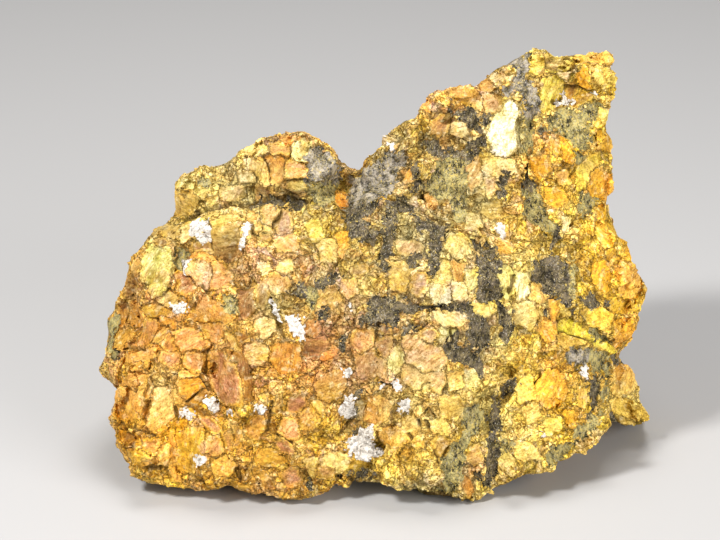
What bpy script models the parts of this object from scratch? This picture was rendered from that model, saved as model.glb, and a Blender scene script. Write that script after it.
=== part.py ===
"""Orpiment specimen: one broken lump of foliated orpiment with seams of dark host rock.

Metres, +Z up. The origin is the middle of the lump's footprint, on the surface it rests on.
The show face looks towards -Y. Its forms are placed on a tilted plane, the face plane, which
an eye sees square on from a little above the front.
"""

import math

import bmesh
import bpy
import numpy as np
from mathutils import Matrix, Vector
from mathutils.bvhtree import BVHTree

MM = 0.001

# The face plane: an eye this far off, this many degrees above the horizon, looks at its middle.
EYE_DISTANCE = 800 * MM
EYE_ELEVATION = math.radians(22)
FACE_MIDDLE = Vector((-3, 0, 41.5)) * MM

# The lump's outline on the face plane, in millimetres right of and above the plane's middle.
OUTLINE_MM = [
    # the low dome on the left
    (-42.5, 17.5), (-42, 19.5), (-40, 20.5), (-37.5, 23), (-31.5, 23.5), (-27.5, 26), (-23.5, 30),
    (-17, 31), (-13, 31), (-7, 27.5), (-5, 25), (-4, 21.5),
    # the notch and the stepped ridge up to the peak
    (-1.5, 22), (1.5, 25.5), (5.5, 27.5), (7, 30.5), (10, 33.5), (14.5, 35), (14.5, 38), (17.5, 41),
    (22.5, 41), (27, 42), (29.5, 44.5), (32, 46), (34.5, 49), (38, 50), (42.5, 50), (45, 48.5),
    (49.5, 49), (57, 50), (57.5, 48.5),
    # down the right wall to the orange knob
    (57, 46.5), (57.5, 41), (56.5, 39), (56.5, 36.5), (55.5, 34), (57.5, 30), (57, 27.5), (57, 22.5),
    (57.5, 20), (56.5, 15.5), (56, 12.5), (57.5, 11.5), (58.5, 8.5), (62.5, 5.5), (63, 2.5),
    (66, -3.5), (65.5, -5), (63.5, -9), (63, -13), (59, -19),
    # the two toes at the right foot
    (61.5, -22), (63.5, -26), (61, -29.5), (64.5, -31), (66.5, -34), (64.5, -36), (58.5, -35),
    # along the foot from right to left
    (56.5, -36.5), (55, -38.5), (50, -41), (46.5, -44), (44, -45.5), (37, -47), (31, -50), (25.5, -52),
    (18.5, -51.5), (14, -51.5), (7, -49), (0.5, -48), (-4, -48.5), (-8, -50.5), (-14, -52.5),
    (-20.5, -51.5), (-29.5, -49.5), (-37, -50), (-39, -49), (-48.5, -48.5), (-52.5, -47),
    # up the left side, past the small lump that stands behind it
    (-53.5, -44.5), (-55, -40), (-57.5, -35), (-55.5, -30), (-54.5, -26.5), (-59, -25), (-60, -23),
    (-58, -20), (-57.5, -15.5), (-58, -11), (-56, -10), (-53, -1), (-51.5, 3), (-48, 7), (-47.5, 9),
    (-42.5, 12),
]

# Wedges along the outline: how far they reach in, how far they open to the front and the back,
# and how far their edge stands out, because fusing rounds it off.
RIM_REACH_MM = 12
RIM_FRONT_MM = 5
RIM_BACK_MM = 11
RIM_OVERSHOOT_MM = 0.9
RIM_SEED = 3

# How far behind the face plane the outline's edge lies: everywhere, and added along the foot, up
# the crest and at the toes, which stand further back. Spans are face-plane millimetres over which
# each comes in.
EDGE_DEPTH_MM = -3
FOOT_DEPTH_MM = -15
FOOT_SPAN = (-46, -30)
CREST_DEPTH_MM = -8
CREST_SPAN = (0, 50)
TOES_DEPTH_MM = 20
TOES_RIGHT_SPAN = (58, 62)
TOES_UP_SPAN = (-24, -18)

# The trim that holds the lump to its outline: how far from the edge's depth it stays full width,
# then how fast it draws in, and how far it stays inside the outline; first for the bare masses,
# then lightly over the blades.
TRIM_FLAT_MM = 3
MASS_TRIM_INSET_MM = 0.2
MASS_TRIM_SLOPE = 0.4
BLADE_TRIM_INSET_MM = -0.4
BLADE_TRIM_SLOPE = 0.08

# The main forms of the lump, each a block with flat broken faces, given by its corners in
# millimetres as the lump stands.
MASSES_MM = {
    "left_belly": [
        (-40, -8, 59), (-25, -8, 61), (-10, -8, 61), (-55, -3, 45), (-60, -12, 12), (-56, -24, 1),
        (-49, -31, 20), (-33, -36, 27), (-34, -29, 43), (-51, -16, 44), (-17, -39, 16), (-17, -22, 51),
        (-30, -38, 4), (-17, -39, 0), (-6, -34, 4), (-5, -33, 28), (-4, -22, 50), (-58, 14, 20),
        (-50, 20, 45), (-8, 26, 55), (-52, 18, 0), (-10, 24, 0),
    ],
    "dome": [
        (-45, 8, 59), (-41, 12, 62), (-27, 8, 70), (-16, 8, 71), (-8, 12, 65), (-7, 12, 60),
        (-43, -3, 55), (-34, -3, 62), (-25, -4, 60), (-12, -3, 66), (-8, -3, 58), (-40, 30, 50),
        (-12, 34, 58), (-26, 26, 69), (-20, 0, 68),
    ],
    "left_outlier": [
        (-60, 4, 27), (-55, -10, 28), (-61, -5, 18), (-55, 8, 14), (-58, -4, 36), (-50, 6, 36),
        (-55, -12, 18), (-50, -8, 14), (-57, 8, 30),
    ],
    "centre_belly": [
        (3, -8, 63), (13, -14, 61), (23, -18, 56), (30, -20, 50), (36, -20, 41), (35, -28, 20),
        (31, -32, 1), (19, -39, 1), (5, -38, 3), (-5, -34, 5), (-6, -33, 28), (-5, -22, 48),
        (13, -34, 40), (18, -37, 22), (-4, 20, 60), (36, 20, 45), (36, 20, 0), (-5, 20, 0),
    ],
    "saddle": [
        (-10, -7, 60), (-6, 8, 60), (3, -9, 61), (8, 12, 66), (-10, -24, 48), (2, -26, 47),
        (-12, 30, 51), (10, 32, 51), (-12, 0, 20), (10, 0, 20),
    ],
    "crown": [
        (11, 12, 78), (19, 10, 81), (26, 10, 85), (35, 10, 91), (54, 12, 90), (53, 10, 76),
        (55, 10, 58), (-2, 12, 64), (37, 1, 75), (38, -6, 61), (40, -12, 49), (6, -4, 62),
        (20, -8, 60), (30, 34, 72), (50, 34, 74), (0, 34, 56), (52, 36, 40), (20, 2, 76), (36, 3, 88),
        (52, 4, 86),
    ],
    "right_wall": [
        (38, -14, 50), (55, 4, 58), (60, 8, 24), (62, 10, 34), (60, 2, 36), (48, -16, 40),
        (36, -22, 30), (58, 24, 44), (56, 26, 14), (40, 36, 62), (36, 30, 10), (52, -14, 22),
        (34, -10, 56), (30, 4, 40),
    ],
    "right_flank": [
        (22, -37, 1), (36, -34, 0), (50, -22, 0), (57, -6, 1), (30, -30, 26), (36, -22, 44),
        (50, -16, 40), (57, -8, 26), (52, 26, 2), (50, 26, 40), (44, -27, 20), (54, -14, 12),
    ],
    "right_toe": [
        (63, 2, 6), (62, -2, 3), (60, -8, 8), (52, -6, 3), (52, 8, 2), (60, 8, 8), (54, 2, 12),
    ],
    "right_toe_upper": [
        (61, 2, 15), (58, -6, 16), (54, -8, 11), (52, 6, 10), (57, 4, 21), (52, -2, 23), (60, 6, 11),
    ],
    "back_left": [
        (-50, 14, 2), (-52, 20, 34), (-34, 34, 12), (-30, 33, 44), (-18, 38, 26), (-8, 34, 54),
        (-12, 36, 4), (-36, 24, 54), (-8, 0, 30), (-40, 0, 20), (-44, 30, 22),
    ],
    "back_right": [
        (-6, 34, 6), (-4, 36, 50), (12, 41, 24), (14, 36, 62), (30, 41, 40), (34, 38, 10),
        (50, 30, 8), (54, 32, 36), (40, 38, 66), (0, 0, 30), (40, 0, 30), (24, 42, 16),
    ],
    "underside": [
        (-50, -16, 8), (-30, -30, -1), (0, -31, -1), (30, -29, -1), (50, -12, -1), (48, 22, -1),
        (20, 32, -1), (-20, 30, -1), (-44, 18, -1), (-48, -6, -1), (0, 0, 20),
    ],
}

# The large cleavage blades of the show face: place on the face plane, length, width, turn about
# the line of sight, and lean away from the face, in millimetres and degrees.
FACE_BLADES = [
    (-46, -2, 13, 7, 75, 35), (-31, -24, 14, 9, -60, 20), (-39, -27, 9, 8, 10, 30),
    (-47, -30, 10, 9, 60, 25), (-52, -31, 9, 7, 5, 15), (-51, -24, 8, 5, 0, 40),
    (-50, -20, 10, 5, 10, 35), (-44, -19, 8, 6, 40, 25), (-38, -19, 8, 7, 20, 20),
    (-39, -39, 13, 3, 85, 20), (-35, -40, 13, 3, 80, 30), (-51, -38, 12, 4, -15, 40),
    (-31, 8, 9, 8, 20, 25), (-24, 7, 8, 6, 60, 20), (-20, 25, 10, 7, 25, 30),
    (-14, 20, 8, 6, 5, 20), (-26, -17, 12, 7, -20, 30), (-17, -29, 9, 6, 15, 30),
    (-5, -26, 9, 6, 20, 25), (-16, -40, 14, 4, -35, 35), (0, -22, 9, 8, 30, 20),
    (9, -15, 8, 5, 5, 30), (14, -18, 10, 5, 10, 25), (8, -28, 11, 7, -20, 20),
    (3, -33, 9, 7, 15, 25), (16, 2, 9, 5, 70, 25), (25, 5, 9, 5, 80, 30),
    (34, 33, 14, 7, 85, 25), (33, 22, 11, 6, 15, 25), (30, 14, 10, 6, 75, 20),
    (37, -2, 8, 5, 80, 30), (35, -14, 10, 5, 85, 20), (52, 20, 11, 6, 60, 30),
    (46, 24, 10, 8, 70, 20), (60, -4, 11, 8, 60, 30), (58, 4, 10, 6, -50, 30),
    (40, -28, 12, 8, 25, 20), (62, -27, 8, 6, 60, 30), (61, -34, 12, 5, 10, 20),
    (45, -36, 10, 6, -10, 25), (29, -44, 8, 4, 85, 30), (12, -46, 11, 6, 10, 30),
    (48, 45, 14, 4, 3, 35), (22, 38, 11, 6, 15, 30), (14, 33, 9, 6, 40, 25),
]
FACE_BLADE_THICKNESS_MM = 3.2

# Smaller blades are scattered over the whole lump.
SCATTERED_BLADES = 520
SCATTER_SEED = 5
SCATTER_LENGTH_MM = (5, 11.5)
SCATTER_WIDTH_MM = (3.5, 7.5)
SCATTER_THICKNESS_MM = (2.2, 4.4)
SCATTER_WOBBLE = 0.5
SCATTER_SINK = 0.1

# Cracks and hollows on the face plane: points of the line, half width and depth, in millimetres.
CRACKS = [
    ([(-43, 12), (-35, 14.5), (-25, 16.5), (-18, 17), (-12, 16), (-3, 20)], 1.6, 4.0),
    ([(-3.5, 20), (-3.5, 12), (-6, 6), (-5, -1)], 1.5, 1.6),
    ([(6, 17), (16, 13), (26, 7), (34, -2), (38, -10), (36, -20)], 1.4, 1.8),
    ([(40, 40), (39, 28), (37, 18), (41, 10), (45, 4)], 1.5, 2.0),
    ([(34, -24), (32, -35), (31, -47)], 1.3, 1.8),
    ([(-35, -18), (-34, -25), (-31, -32)], 1.2, 3.2),
    ([(46, -11), (53, -14), (59, -18)], 1.0, 1.4),
    ([(1, -8), (6, -7), (13, -8), (24, -9)], 1.2, 0.9),
]
HOLLOWS = [
    ([(-41, 3), (-39, 0)], 3.2, 3.0),
    ([(48, 40), (53, 40)], 3.0, 4.0),
    ([(6, -26), (8, -26)], 1.6, 3.0),
    ([(-27, -19), (-26, -24)], 1.6, 2.2),
    ([(-33, 5), (-29, 4)], 2.6, 2.0),
    ([(43, 2), (45, -4)], 3.0, 1.8),
    ([(0, -32), (4, -40)], 2.0, 1.6),
]

FUSE_VOXEL = 1.5 * MM
FINE_VOXEL = 1.0 * MM
TRIANGLES = 9400

SLAB_WIDTH = 300 * MM
SLAB_THICKNESS = 100 * MM

ROCK_COLOUR = (0.60, 0.36, 0.09, 1)
ROCK_ROUGHNESS = 0.5

TOWARDS_FACE = Vector((0, math.cos(EYE_ELEVATION), -math.sin(EYE_ELEVATION)))
FACE_UP = Vector((0, math.sin(EYE_ELEVATION), math.cos(EYE_ELEVATION)))
FACE_RIGHT = Vector((1, 0, 0))


def clear_scene():
    """Removes what the scene holds and returns two new collections, for the lump and its cutter."""
    for old in list(bpy.data.objects):
        bpy.data.objects.remove(old)
    made = []
    for name in ("orpiment_specimen", "cutters"):
        collection = bpy.data.collections.new(name)
        bpy.context.scene.collection.children.link(collection)
        made.append(collection)
    return made


def rock_material():
    material = bpy.data.materials.new("orpiment")
    material.use_nodes = True
    shader = material.node_tree.nodes["Principled BSDF"]
    shader.inputs["Base Color"].default_value = ROCK_COLOUR
    shader.inputs["Roughness"].default_value = ROCK_ROUGHNESS
    shader.inputs["Metallic"].default_value = 0
    return material


def hull(into, points):
    """Adds the convex hull of some points to a bmesh, as a flat-faced block."""
    corners = [into.verts.new(point) for point in points]
    made = bmesh.ops.convex_hull(into, input=corners, use_existing_faces=False)
    inside = [e for e in made["geom_interior"] if isinstance(e, bmesh.types.BMVert)]
    unused = [e for e in made["geom_unused"] if isinstance(e, bmesh.types.BMVert)]
    bmesh.ops.delete(into, geom=list(set(inside + unused)), context="VERTS")


def blade(into, place, turn, length, width, thickness, rng):
    """A cleavage blade: a slab with uneven, bevelled ends, turned by a matrix about its middle."""
    points = []
    for side in (-1, 1):
        for along, across in ((-1, -0.6), (-0.8, 1), (0.7, 1), (1, 0.5), (0.9, -1), (-0.5, -1)):
            jitter = rng.uniform(0.82, 1.1, 2)
            spot = (along * length / 2 * jitter[0], across * width / 2 * jitter[1], side * thickness / 2)
            points.append(place + turn @ Vector(spot))
    hull(into, points)


def fused(bm, name, voxel):
    """Joins overlapping closed blocks into one skin with a voxel Remesh, as a new mesh."""
    loose = bpy.data.meshes.new(name + "_loose")
    bm.to_mesh(loose)
    bm.free()
    holder = bpy.data.objects.new(name + "_holder", loose)
    bpy.context.scene.collection.objects.link(holder)
    remesh = holder.modifiers.new("fuse", "REMESH")
    remesh.mode = "VOXEL"
    remesh.voxel_size = voxel
    graph = bpy.context.evaluated_depsgraph_get()
    mesh = bpy.data.meshes.new_from_object(holder.evaluated_get(graph))
    bpy.data.objects.remove(holder)
    return mesh


def points_of(mesh):
    points = np.empty(len(mesh.vertices) * 3, np.float32)
    mesh.vertices.foreach_get("co", points)
    return points.reshape(-1, 3).astype(float)


def set_points(mesh, points):
    mesh.vertices.foreach_set("co", points.astype(np.float32).ravel())
    mesh.update()


def on_face(points):
    """Face-plane places of some points: right and up, in metres, and how much nearer things grow."""
    offset = points - np.array(FACE_MIDDLE)
    nearness = EYE_DISTANCE / (EYE_DISTANCE + offset @ np.array(TOWARDS_FACE))
    right = offset @ np.array(FACE_RIGHT) * nearness
    up = offset @ np.array(FACE_UP) * nearness
    return np.stack([right, up], axis=1), nearness


def rim_depth(right, up):
    """How far behind the face plane the outline's edge lies at a place, in millimetres."""
    beside_toes = np.interp(right, TOES_RIGHT_SPAN, (0, 1))
    foot = np.interp(up, FOOT_SPAN, (1, 0)) * (1 - beside_toes)
    crest = np.interp(up, CREST_SPAN, (0, 1))
    toes = beside_toes * np.interp(up, TOES_UP_SPAN, (1, 0))
    return EDGE_DEPTH_MM + FOOT_DEPTH_MM * foot + CREST_DEPTH_MM * crest + TOES_DEPTH_MM * toes


def rim_blocks(into):
    """A wedge along each stretch of the outline, sharp on the outline and opening inwards."""
    rng = np.random.default_rng(RIM_SEED)
    places = np.array(OUTLINE_MM)
    for start, end in zip(places, np.roll(places, -1, axis=0)):
        run = end - start
        inward = np.array((run[1], -run[0])) / np.hypot(*run)
        depth = rim_depth(*((start + end) / 2)) + rng.uniform(-2.5, 2.5)
        corners = []
        for place in (start, end):
            corners.append((place - inward * RIM_OVERSHOOT_MM, depth + rng.uniform(-1.5, 1.5)))
            for side in (-RIM_FRONT_MM, RIM_BACK_MM):
                corners.append((place + inward * rng.uniform(1, 4), depth + side * rng.uniform(0.3, 0.6)))
                corners.append((place + inward * RIM_REACH_MM, depth + side))
        hull(into, [off_face(place, depth) for place, depth in corners])


def off_face(place, depth):
    """The point seen at a face-plane place in millimetres, this many millimetres behind the plane."""
    spot = (FACE_RIGHT * place[0] + FACE_UP * place[1]) * MM
    return FACE_MIDDLE + spot * (1 + depth * MM / EYE_DISTANCE) + TOWARDS_FACE * depth * MM


def trim_outline(mesh, inset, slope):
    """Pulls in what shows outside the outline from the eye, to a rim that draws in by the slope,
    in front of and behind its edge, so that no wall runs straight along the line of sight."""
    points = points_of(mesh)
    place, nearness = on_face(points)
    place = place / MM
    rim = np.array(OUTLINE_MM)
    depth = (points - np.array(FACE_MIDDLE)) @ np.array(TOWARDS_FACE) / MM
    from_edge = np.abs(depth - rim_depth(place[:, 0], place[:, 1]))
    allowed = inset + np.clip(from_edge - TRIM_FLAT_MM, 0, None) * slope
    away, foot, inside = nearest_on_outline(place, rim)
    out = (foot - place) / np.maximum(away, 1e-9)[:, None] * np.where(inside, 1, -1)[:, None]
    room = np.where(inside, away, -away) - allowed
    move = np.where(room[:, None] < 0, out * room[:, None], 0) * MM / nearness[:, None]
    points = points + move[:, :1] * np.array(FACE_RIGHT) + move[:, 1:] * np.array(FACE_UP)
    set_points(mesh, points)


def nearest_on_outline(places, rim):
    """For each place: its distance to the outline, the nearest point of it, and whether it lies inside."""
    away = np.full(len(places), np.inf)
    foot = np.zeros_like(places)
    crossings = np.zeros(len(places), int)
    for start, end in zip(rim, np.roll(rim, -1, axis=0)):
        run = end - start
        along = np.clip(((places - start) @ run) / (run @ run), 0, 1)
        spot = start + along[:, None] * run
        distance = np.linalg.norm(places - spot, axis=1)
        foot = np.where((distance < away)[:, None], spot, foot)
        away = np.minimum(away, distance)
        level = (start[1] > places[:, 1]) != (end[1] > places[:, 1])
        slope = (places[:, 1] - start[1]) * run[0] / (run[1] if run[1] else 1e-9) + start[0]
        crossings += level & (places[:, 0] < slope)
    return away, foot, crossings % 2 == 1


def seen_from_eye(tree, right, up):
    """Where the line of sight through a face-plane place, in millimetres, meets the lump."""
    spot = FACE_MIDDLE + (FACE_RIGHT * right + FACE_UP * up) * MM
    eye = FACE_MIDDLE - TOWARDS_FACE * EYE_DISTANCE
    return tree.ray_cast(eye, (spot - eye).normalized())[:2]


def along_surface(normal, run):
    """A turn whose Z axis is the normal and whose X axis is a direction laid into the surface."""
    across = normal.cross(run).normalized()
    return Matrix((across.cross(normal), across, normal)).transposed()


def grow_blades(mesh):
    """Sets the face's large blades and the scattered small ones into the lump, and fuses them."""
    rng = np.random.default_rng(SCATTER_SEED)
    bm = bmesh.new()
    bm.from_mesh(mesh)
    bm.normal_update()
    tree = BVHTree.FromBMesh(bm)
    bm.faces.ensure_lookup_table()
    areas = np.array([face.calc_area() for face in bm.faces])
    chosen = rng.choice(len(areas), SCATTERED_BLADES, replace=False, p=areas / areas.sum())
    sites = [(bm.faces[i].calc_center_median(), bm.faces[i].normal.copy()) for i in chosen]
    for right, up, length, width, spin, lean in FACE_BLADES:
        place, normal = seen_from_eye(tree, right, up)
        if place is None:
            continue
        facing = (normal - TOWARDS_FACE).normalized()
        run = FACE_RIGHT * math.cos(math.radians(spin)) + FACE_UP * math.sin(math.radians(spin))
        turn = along_surface(facing, run) @ Matrix.Rotation(math.radians(lean), 3, "X")
        blade(bm, place, turn, length * MM, width * MM, FACE_BLADE_THICKNESS_MM * MM, rng)
    for place, normal in sites:
        length, width, thickness = (
            rng.uniform(*span) * MM for span in (SCATTER_LENGTH_MM, SCATTER_WIDTH_MM, SCATTER_THICKNESS_MM)
        )
        wobble = Vector(rng.normal(scale=SCATTER_WOBBLE, size=3))
        turn = along_surface((normal + wobble).normalized(), Vector(rng.normal(size=3)))
        blade(bm, place - normal * thickness * SCATTER_SINK, turn, length, width, thickness, rng)
    return fused(bm, "blades", FINE_VOXEL)


def distance_to_line(places, line):
    """Shortest distance in the face plane from each place to a line of points."""
    nearest = np.full(len(places), np.inf)
    for start, end in zip(line[:-1], line[1:]):
        a, run = np.array(start), np.array(end) - np.array(start)
        along = np.clip(((places - a) @ run) / (run @ run), 0, 1)
        nearest = np.minimum(nearest, np.linalg.norm(places - a - along[:, None] * run, axis=1))
    return nearest


def sink_cracks(mesh):
    """Sinks the cracks and hollows of the show face along the line of sight."""
    normals = np.empty(len(mesh.vertices) * 3, np.float32)
    mesh.vertices.foreach_get("normal", normals)
    facing = np.clip(-(normals.reshape(-1, 3) @ np.array(TOWARDS_FACE)) * 2, 0, 1)
    points = points_of(mesh)
    place, _ = on_face(points)
    depth = np.zeros(len(points))
    for line, half_width, deep in CRACKS + HOLLOWS:
        away = distance_to_line(place / MM, line) / half_width
        depth = np.maximum(depth, deep * np.clip(1 - (away / 1.5) ** 2, 0, 1))
    set_points(mesh, points + (depth * facing)[:, None] * MM * np.array(TOWARDS_FACE))


def largest_body(mesh):
    """Keeps only the largest connected skin of a mesh, dropping sealed pockets."""
    bm = bmesh.new()
    bm.from_mesh(mesh)
    left = set(bm.verts)
    bodies = []
    while left:
        front = [left.pop()]
        body = list(front)
        while front:
            reached = {e.other_vert(v) for v in front for e in v.link_edges} & left
            left -= reached
            front = list(reached)
            body += front
        bodies.append(body)
    bodies.sort(key=len)
    for body in bodies[:-1]:
        bmesh.ops.delete(bm, geom=body, context="VERTS")
    bm.to_mesh(mesh)
    bm.free()


def centred(mesh):
    """Moves the lump sideways until its box is centred over the origin."""
    points = points_of(mesh)
    middle = (points.min(axis=0) + points.max(axis=0)) / 2
    set_points(mesh, points - middle * (1, 1, 0))


def underside_cutter(collection):
    """A slab under the resting surface, which gives the lump its flat resting face."""
    bpy.ops.mesh.primitive_cube_add(size=1, location=(0, 0, -SLAB_THICKNESS / 2))
    slab = bpy.context.object
    slab.name = "underside_cutter"
    slab.scale = (SLAB_WIDTH, SLAB_WIDTH, SLAB_THICKNESS)
    slab.hide_render = True
    slab.display_type = "WIRE"
    for holder in list(slab.users_collection):
        holder.objects.unlink(slab)
    collection.objects.link(slab)
    return slab


def build():
    lump_collection, cutter_collection = clear_scene()
    bm = bmesh.new()
    for corners in MASSES_MM.values():
        hull(bm, [Vector(corner) * MM for corner in corners])
    rim_blocks(bm)
    mesh = fused(bm, "masses", FUSE_VOXEL)
    trim_outline(mesh, MASS_TRIM_INSET_MM, MASS_TRIM_SLOPE)
    bm = bmesh.new()
    bm.from_mesh(mesh)
    mesh = grow_blades(fused(bm, "trimmed", FUSE_VOXEL))
    trim_outline(mesh, BLADE_TRIM_INSET_MM, BLADE_TRIM_SLOPE)
    sink_cracks(mesh)
    largest_body(mesh)
    centred(mesh)
    mesh.name = "specimen"
    mesh.materials.clear()
    mesh.materials.append(rock_material())
    lump = bpy.data.objects.new("specimen", mesh)
    lump_collection.objects.link(lump)
    thin = lump.modifiers.new("facets", "DECIMATE")
    thin.ratio = TRIANGLES / (2 * len(mesh.polygons))
    thin.use_collapse_triangulate = True
    cut = lump.modifiers.new("resting_faces", "BOOLEAN")
    cut.operation = "DIFFERENCE"
    cut.object = underside_cutter(cutter_collection)


build()
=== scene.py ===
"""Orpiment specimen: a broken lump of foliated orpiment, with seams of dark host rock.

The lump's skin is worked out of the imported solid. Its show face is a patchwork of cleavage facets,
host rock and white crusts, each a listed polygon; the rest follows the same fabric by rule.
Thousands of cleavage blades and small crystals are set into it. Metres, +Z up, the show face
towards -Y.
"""

import math

import bpy
import numpy as np
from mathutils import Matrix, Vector


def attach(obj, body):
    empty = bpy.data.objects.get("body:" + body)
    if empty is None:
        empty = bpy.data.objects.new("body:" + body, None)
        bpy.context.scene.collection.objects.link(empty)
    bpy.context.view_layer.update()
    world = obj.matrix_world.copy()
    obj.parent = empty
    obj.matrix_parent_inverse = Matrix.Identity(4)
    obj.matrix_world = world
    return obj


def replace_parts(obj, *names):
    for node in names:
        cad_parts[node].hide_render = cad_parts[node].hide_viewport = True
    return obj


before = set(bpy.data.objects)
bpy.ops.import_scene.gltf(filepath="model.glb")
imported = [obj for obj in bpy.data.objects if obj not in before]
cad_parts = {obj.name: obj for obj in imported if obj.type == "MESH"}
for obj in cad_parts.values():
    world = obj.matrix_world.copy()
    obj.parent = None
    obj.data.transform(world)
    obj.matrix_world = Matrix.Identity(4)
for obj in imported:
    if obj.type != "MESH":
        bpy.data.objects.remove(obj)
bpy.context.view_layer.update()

MM = 0.001

# The view that the lump is shown from: the eye looks at the middle of the face plane, square on.
EYE_DISTANCE = 800 * MM
EYE_ELEVATION = math.radians(22)
FACE_MIDDLE = np.array((-3.93, -1.15, 41.5)) * MM
RIGHT = np.array((1.0, 0.0, 0.0))
UP = np.array((0.0, math.sin(EYE_ELEVATION), math.cos(EYE_ELEVATION)))
AWAY = np.array((0.0, math.cos(EYE_ELEVATION), -math.sin(EYE_ELEVATION)))
VIEW_WIDTH = 720
VIEW_HEIGHT = 540
PIXEL_MM = 0.23

# How far behind the face plane the lump's outer edge lies, as in its solid, and what is added to
# that at the foot, the crest and the right toes. Each comes in between two places, in millimetres.
EDGE_DEPTH_MM = -3
FOOT_DEPTH_MM = -15
FOOT_SPAN = (-46, -30)
CREST_DEPTH_MM = -8
CREST_SPAN = (0, 50)
TOES_DEPTH_MM = 20
TOES_RIGHT_SPAN = (58, 62)
TOES_UP_SPAN = (-24, -18)

# Paints, as they would look on a sheet of paper: red, green and blue from 0 to 255.
PAINTS = {
    "gold": (220, 168, 58),
    "peach": (209, 145, 76),
    "amber": (196, 128, 36),
    "flame": (240, 158, 24),
    "sun": (248, 198, 48),
    "tan": (142, 98, 64),
    "orange": (221, 142, 30),
    "vivid": (236, 138, 4),
    "cream": (226, 192, 98),
    "pale": (238, 224, 136),
    "sulphur": (252, 230, 60),
    "lemon": (238, 206, 84),
    "rose": (145, 88, 66),
    "brown": (96, 54, 12),
    "rust": (120, 56, 16),
    "olive_gold": (158, 134, 58),
    "olive": (96, 90, 60),
    "khaki": (138, 122, 78),
    "grey": (92, 87, 80),
    "dark": (58, 52, 43),
}

# The broad colour of each part of the show face: a paint, its middle in pixels of the view, and
# how many pixels it reaches.
GROUNDS = [
    ("gold", 150, 240, 30), ("gold", 190, 205, 25), ("peach", 265, 170, 25), ("cream", 245, 150, 15),
    ("peach", 235, 250, 30), ("peach", 210, 320, 45), ("orange", 130, 310, 15), ("peach", 150, 360, 30),
    ("gold", 140, 410, 30), ("gold", 190, 445, 25), ("gold", 230, 460, 35), ("orange", 290, 360, 25),
    ("gold", 260, 410, 30), ("gold", 280, 480, 30), ("cream", 255, 330, 20), ("lemon", 320, 225, 22),
    ("peach", 280, 250, 30), ("cream", 340, 290, 20), ("tan", 320, 345, 15), ("peach", 365, 345, 15),
    ("gold", 400, 265, 20), ("cream", 450, 280, 30), ("gold", 410, 240, 15), ("peach", 430, 360, 40),
    ("gold", 450, 410, 35), ("orange", 405, 450, 15), ("lemon", 400, 472, 25), ("peach", 450, 110, 35),
    ("gold", 485, 190, 35), ("cream", 500, 130, 20), ("gold", 530, 240, 20), ("lemon", 550, 90, 20),
    ("gold", 595, 60, 20), ("orange", 556, 170, 30), ("lemon", 590, 165, 15), ("orange", 605, 190, 15),
    ("gold", 600, 230, 25), ("olive_gold", 583, 275, 14), ("orange", 625, 285, 30),
    ("gold", 598, 318, 15),
    ("orange", 560, 335, 20), ("cream", 525, 300, 22), ("cream", 520, 330, 15),
    ("olive_gold", 505, 350, 15),
    ("orange", 552, 388, 24), ("cream", 530, 425, 35), ("cream", 525, 455, 25), ("gold", 582, 400, 15),
    ("orange", 570, 425, 10), ("orange", 625, 380, 20), ("lemon", 630, 410, 15), ("gold", 475, 450, 12),
    ("olive_gold", 458, 488, 15), ("olive_gold", 105, 360, 14), ("olive_gold", 135, 470, 12),
    ("cream", 520, 372, 15), ("tan", 350, 225, 20), ("olive_gold", 400, 135, 20),
    ("lemon", 536, 64, 14),
    ("gold", 325, 440, 25), ("olive_gold", 335, 350, 10), ("cream", 200, 215, 12),
    ("olive_gold", 430, 185, 16),
    ("lemon", 545, 70, 18), ("olive_gold", 585, 58, 16), ("lemon", 600, 120, 16),
    ("lemon", 565, 235, 16),
    ("lemon", 578, 212, 12), ("lemon", 520, 350, 16), ("lemon", 580, 320, 16), ("lemon", 540, 440, 20),
    ("olive_gold", 590, 280, 16), ("lemon", 430, 480, 18), ("cream", 500, 400, 16),
    ("lemon", 360, 235, 10),
]
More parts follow.
